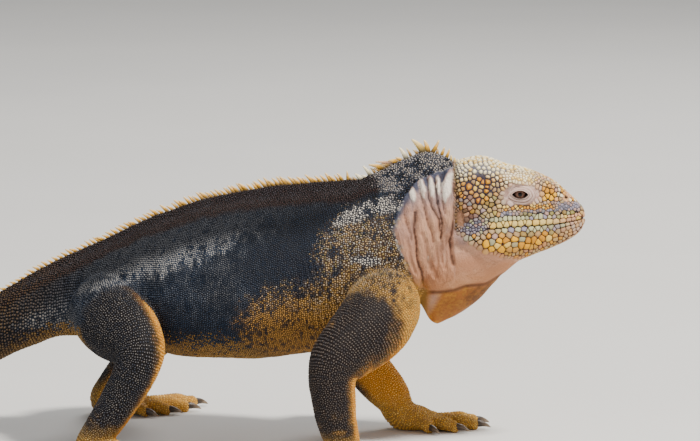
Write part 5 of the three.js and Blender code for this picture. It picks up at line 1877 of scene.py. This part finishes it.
def build_lids(name, side, surface):
    """One ring of skin from the edge of the eye's opening out to the scales around it."""
    out = np.linspace(0, 1, 44)[:, None]
    around = np.linspace(0, 2 * np.pi, 96, endpoint=False)[None]
    slit = np.abs(np.sin(around)) ** 1.6 * np.sign(np.sin(around))
    inner = np.stack([OPENING_LENGTH / 2 * np.cos(around), OPENING_HEIGHT / 2 * slit + 0 * around], -1)
    outer = np.stack([LID_RADII[0] * np.cos(around), LID_RADII[1] * np.sin(around)], -1)
    flat = inner + (outer - inner) * out[..., None] ** 1.1
    x, z = flat[..., 0] + EYE_X, flat[..., 1] + EYE_Z + (LID_MIDDLE_Z - EYE_Z) * out
    bulge = 1 - ((x - EYE_X) / LID_LENGTH) ** 2 - ((z - LID_MIDDLE_Z) / LID_HEIGHT) ** 2
    y = LID_Y + LID_DEPTH * np.sqrt(np.maximum(bulge, 0.02))
    ripple = 0.16 * np.sin(3 * around + 1) + 0.1 * np.sin(7 * around) * out
    pleats = np.abs(np.sin(np.pi * (LID_FOLDS * out ** 0.8 + ripple))) ** 0.6
    faded = between(out, 0.1, 0.66, 0.14) * (0.7 + 0.3 * np.cos(around + 1.5))
    y = y + LID_FOLD_DEPTH * (pleats - 0.6) * faded
    y = y + RIM_HEIGHT * groove(out - 0.05, 0.05) - RIM_TUCK * (1 - smooth(out, 0, 0.035))
    y = y - EDGE_DROP * smooth(out, 0.93, 1)
    points = np.stack([x, side * y, z], -1)
    grid = points.reshape(-1, 3)
    skin_at, skin_out, _ = surface.land(grid)
    edge = np.broadcast_to(smooth(out, 0.5, 0.97), x.shape).reshape(-1, 1)
    grid = grid + (skin_at - skin_out * EDGE_SUNK - grid) * edge
    faces = grid_faces(*x.shape)
    piece = new_mesh(name, grid, faces if side < 0 else faces[:, ::-1])
    fine = rough_noise(grid, 2.2, 91)
    # The lid's folds are painted lighter on their crests and darker in their valleys: painted light and shade
    # on the folds.
    colour = mix("rose", "pale_rose", smooth(pleats.ravel() + 0.3 * fine, 0.3, 1.0))
    rim = np.broadcast_to(1 - smooth(out, 0.03, 0.11), x.shape).ravel()
    colour = mix(colour, "soot", 0.9 * rim)
    # Painted shade in the valleys between the folds.
    lid_fold_shade = ((1 - pleats) * faded).ravel()
    colour = mix(colour, "neck_dark", 0.7 * smooth(lid_fold_shade, 0.2, 0.7))
    set_colour(piece.data, colour)
    return piece


# Claws

CLAW_ROOT = 3.0
CLAW_RINGS, CLAW_SIDES = 22, 16
CLAW_RADII = [(0, CLAW_BASE * 0.9), (0.25, CLAW_BASE), (0.6, CLAW_BASE * 0.66), (0.9, 0.7), (1, 0.15)]


def build_claws(name, limb):
    parts, ends = [], []
    for claw in limb["claws"]:
        root, ahead = claw.points[:2]
        behind = root - unit(ahead - root) * CLAW_ROOT
        rooted = Tube([behind, *claw.points], CLAW_RADII, CLAW_FLATNESS)
        parts.append(tube_loft(rooted, CLAW_RINGS, CLAW_SIDES))
        share = np.repeat(np.linspace(0, 1, CLAW_RINGS + 1), CLAW_SIDES)
        ends.append(np.concatenate([share, [0, 1]]))
    piece = joined(name, parts)
    share = np.concatenate(ends)
    streak = rough_noise(points_of(piece.data) * [0.4, 1, 1], 1.2, 95)
    colour = mix("horn", "horn_tip", smooth(share + 0.25 * streak, 0.35, 0.95))
    set_colour(piece.data, colour)
    return piece


# Finishes


class Finish(Nodes):
    """A material whose shader takes plain numbers, with the nodes that vary it."""

    def __init__(self, name, **constants):
        self.material = bpy.data.materials.new(name)
        self.material.use_nodes = True
        super().__init__(self.material.node_tree)
        self.shader = self.tree.nodes["Principled BSDF"].inputs
        for key, value in constants.items():
            self.shader[key.replace("_", " ").title().replace("Ior", "IOR")].default_value = value

    def tint(self):
        return self.add("ShaderNodeAttribute", {"attribute_name": "tint"})["Color"]

    def number(self, name):
        return Amount(self, self.add("ShaderNodeAttribute", {"attribute_name": name})["Fac"])

    def place(self):
        return self.add("ShaderNodeTexCoord")["Object"]

    def noise(self, per_metre, detail=3, place=None):
        inputs = {"Vector": place or self.place(), "Scale": per_metre, "Detail": detail}
        return Amount(self, self.add("ShaderNodeTexNoise", inputs=inputs)["Fac"])

    def along(self, turn, stretch):
        """Places drawn out along a line that leans in the side view."""
        inputs = {"Vector": self.place(), "Rotation": (0, turn, 0), "Scale": (1, 1, stretch)}
        return self.add("ShaderNodeMapping", {"vector_type": "TEXTURE"}, inputs)["Vector"]

    def cells(self, per_metre):
        inputs = {"Vector": self.place(), "Scale": per_metre}
        return Amount(self, self.add("ShaderNodeTexVoronoi", inputs=inputs)["Distance"])

    def ranged(self, value, start, end, low, high):
        """A number that runs from low to high while another runs from start to end."""
        inputs = {"Value": value, "From Min": start, "From Max": end, "To Min": low, "To Max": high}
        return Amount(self, self.add("ShaderNodeMapRange", inputs=inputs)["Result"])

    def shaded(self, colour, low, high, amount):
        """A colour made darker and lighter by a number from 0 to 1."""
        value = amount * (high - low) + low
        grey = self.add("ShaderNodeCombineXYZ", inputs={"X": value, "Y": value, "Z": value})["Vector"]
        return self.add("ShaderNodeVectorMath", {"operation": "MULTIPLY"}, {0: colour, 1: grey})["Vector"]

    def take(self, socket, value):
        self.feed(self.shader[socket], value)

    def bump(self, height, strength, distance):
        inputs = {"Height": height, "Strength": strength, "Distance": distance}
        self.take("Normal", self.add("ShaderNodeBump", inputs=inputs)["Normal"])


SHEEN = 0.15
FOLD_LEAN = math.radians(-12)


def grained(name, per_metre, detail, low, high, **constants):
    """A finish in the mesh's own colours with a fine grain, and that grain."""
    finish = Finish(name, **constants)
    grain = finish.noise(per_metre, detail)
    finish.take("Base Color", finish.shaded(finish.tint(), low, high, grain))
    return finish, grain


def skin_finish():
    finish = Finish("iguana_skin", specular_ior_level=SHEEN)
    grain, pores, loose = finish.noise(700), finish.cells(1100), finish.number("loose")
    wrinkles = finish.noise(520, 3, finish.along(FOLD_LEAN, 6)) - 0.5
    # Besides a random grain, the colour darkens in the pores and along the wrinkles of the loose skin:
    # painted shade that follows the bump.
    light = grain * 0.6 + (1 - pores) * 0.4 + wrinkles * loose * 1.6
    finish.take("Base Color", finish.shaded(finish.tint(), 0.72, 1.22, light))
    finish.take("Roughness", grain * 0.2 + 0.52)
    finish.bump(grain * 0.4 - pores * 0.7 + wrinkles * loose * 4, 0.6, 0.0005)
    return finish.material


def scale_finish():
    finish, grain = grained("iguana_scales", 1500, 2, 0.8, 1.2, specular_ior_level=SHEEN)
    finish.take("Roughness", grain * 0.25 + 0.42)
    finish.bump(grain, 0.3, 0.0002)
    return finish.material


def lid_finish():
    finish, grain = grained("eyelid_skin", 900, 3, 0.85, 1.12, specular_ior_level=SHEEN)
    finish.take("Roughness", grain * 0.2 + 0.45)
    finish.bump(grain * 0.3 - finish.cells(1500), 0.4, 0.00025)
    return finish.material


def eye_finish():
    gloss = dict(roughness=0.12, specular_ior_level=0.1, coat_weight=0.25, coat_roughness=0.02)
    return grained("eye_gloss", 2500, 2, 0.8, 1.2, **gloss)[0].material


def claw_finish():
    finish, grain = grained("claw_horn", 1200, 3, 0.75, 1.25)
    finish.take("Roughness", grain * 0.25 + 0.25)
    finish.bump(grain, 0.25, 0.0002)
    return finish.material


def spine_finish():
    finish = Finish("crest_horn")
    grain, rise = finish.noise(1300), finish.number("rise")
    light = finish.ranged(rise, 0.2, 0.6, 0.12, 1.0) * (grain * 0.3 + 0.85)
    base = finish.shaded(finish.tint(), 0.0, 1.0, light)
    tip = finish.ranged(rise, 0.5, 1.0, 0.0, 0.6)
    mixed = finish.add("ShaderNodeMix", {"data_type": "RGBA"}, {0: tip, 6: base, 7: (*SHADES["cream"], 1)})
    finish.take("Base Color", mixed[2])
    finish.take("Roughness", grain * 0.2 + 0.4)
    finish.bump(grain, 0.2, 0.0002)
    return finish.material


# Studio

CAMERA_DISTANCE = 4.0
FRAME_WIDTH = 0.5738
SENSOR_WIDTH = 36
# The place in the picture's middle, in the animal's frame.
AIM = np.array([0, 0, 190.8])
# The place that the lights point at, in metres.
LIGHT_AIM = Vector((0, 0, 0.1))


def add_camera():
    camera = bpy.data.cameras.new("camera")
    camera.sensor_width = SENSOR_WIDTH
    camera.lens = SENSOR_WIDTH * CAMERA_DISTANCE / FRAME_WIDTH
    camera.clip_end = 50
    aim = Vector(AIM * MM + PLACE)
    away = Vector((0, -COS_VIEW, SIN_VIEW))
    viewer = add_object("camera", camera)
    viewer.location = aim + away * CAMERA_DISTANCE
    viewer.rotation_euler = (-away).to_track_quat("-Z", "Y").to_euler()
    bpy.context.scene.camera = viewer


def add_light(name, location, size, power, colour):
    light = bpy.data.lights.new(name, "AREA")
    light.shape, light.size, light.energy, light.color = "SQUARE", size, power, colour
    lamp = add_object(name, light)
    lamp.location = location
    lamp.rotation_euler = (LIGHT_AIM - Vector(location)).to_track_quat("-Z", "Y").to_euler()


# Each light's place and size in metres, its power in watts and its colour.
LIGHTS = dict(
    key=((1.5, -1.3, 2.9), 0.45, 190, (1, 0.96, 0.89)),
    fill=((-2.4, -2.4, 1.4), 2.6, 24, (0.9, 0.95, 1)),
    rim=((1.2, 2.4, 2.4), 1.4, 60, (1, 0.98, 0.95)),
)
FLOOR_REACH = 9.0
FLOOR_COLOUR = (0.72, 0.71, 0.69)


def add_studio():
    """A wide pale floor, a key light like a soft sun and two weaker lights."""
    for name, settings in LIGHTS.items():
        add_light(name, *settings)
    world = bpy.data.worlds.new("studio")
    world.use_nodes = True
    sky = world.node_tree.nodes["Background"].inputs
    sky["Color"].default_value = (0.86, 0.87, 0.88, 1)
    sky["Strength"].default_value = 0.45
    bpy.context.scene.world = world
    mesh = bpy.data.meshes.new("floor")
    r = FLOOR_REACH
    mesh.from_pydata([(-r, -r, 0), (r, -r, 0), (r, r, 0), (-r, r, 0)], [], [(0, 1, 2, 3)])
    floor = add_object("floor", mesh)
    finish = Finish("studio_floor", roughness=0.9)
    finish.take("Base Color", finish.shaded(FLOOR_COLOUR, 0.96, 1.04, finish.noise(3)))
    mesh.materials.append(finish.material)


# Assembly

ARM_PARTS, LEG_PARTS = ("upper_arm", "forearm", "hand"), ("thigh", "shin", "foot")


def limb_nodes(key):
    """The names of the nodes of a limb's flesh, from the body outwards."""
    side = key.split("_")[0]
    return [f"{side}_{part}" for part in (ARM_PARTS if LIMBS[key]["fore"] else LEG_PARTS)]


def flesh_nodes():
    names = ["head", "neck", "throat_pouch", "torso", "tail_1", "tail_2", "tail_3", "tail_4"]
    return names + [name for key in LIMBS for name in limb_nodes(key)]


def fit(piece, slot, finish, *nodes):
    """Gives a piece its finish and its place on the body; its slot is not used."""
    piece.data.materials.clear()
    piece.data.materials.append(finish)
    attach(piece, "root")
    if nodes:
        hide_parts(*nodes)


def bare_share(points):
    """How far the skin itself shows, where no scales cover it."""
    x, h = side_view(points)
    folded = neck_folds(points)[0]
    throat = smooth(x, 60, 66) * (1 - smooth(h, 150, 165)) * on_trunk(points)
    under_ear = between(x, 80, 85, 1) * (1 - smooth(h, 188, 192))
    face = smooth(x, 84, 86) * (~scaled_head(points) | (h < jaw_edge_h(x)))
    raised = np.maximum.reduce([throat, under_ear, face]) * is_raised(points)
    return np.maximum(smooth(folded, 0.2, 0.4), raised)


def build_animal():
    skin = build_skin()
    surface = Surface(skin.data)
    chance = noise(surface.points, 1.6, 17) / 2 + 0.5
    _, light, dark = hide_at(surface.points, surface.normals, chance)
    shown = smooth(bare_share(surface.points), 0.2, 0.8)
    # Where scales cover it, the skin takes the gap's colour darkened: painted shade between the scales.
    set_colour(skin.data, mix(dark * 0.8, light, shown))
    set_number(skin.data, "loose", neck_folds(surface.points)[0])
    skin_look, scale_look = skin_finish(), scale_finish()
    fit(skin, "body_scales", skin_look, *flesh_nodes())
    for piece in build_coat(surface):
        slot = "head_scales" if piece.name == "scales_head" else "body_scales"
        slot = "limb_scales" if piece.name.endswith(("arm", "leg")) else slot
        fit(piece, slot, scale_look)
    crest = spine_finish()
    fit(build_crest(surface, crest), "body_scales", crest)
    eye_look, lid_look, claw_look = eye_finish(), lid_finish(), claw_finish()
    for name, side in (("left", 1), ("right", -1)):
        fit(build_eye(f"eyeball_{name}", side), "eye", eye_look, f"eye_{name}")
        fit(build_lids(f"eyelids_{name}", side, surface), "head_scales", lid_look)
    for key, limb in LIMBS.items():
        foot = limb_nodes(key)[-1]
        claws = [f"{foot}_claw_{digit}" for digit in DIGIT_NAMES]
        fit(build_claws(f"claws_{foot}", limb), "claw", claw_look, *claws)


add_camera()
add_studio()
build_animal()
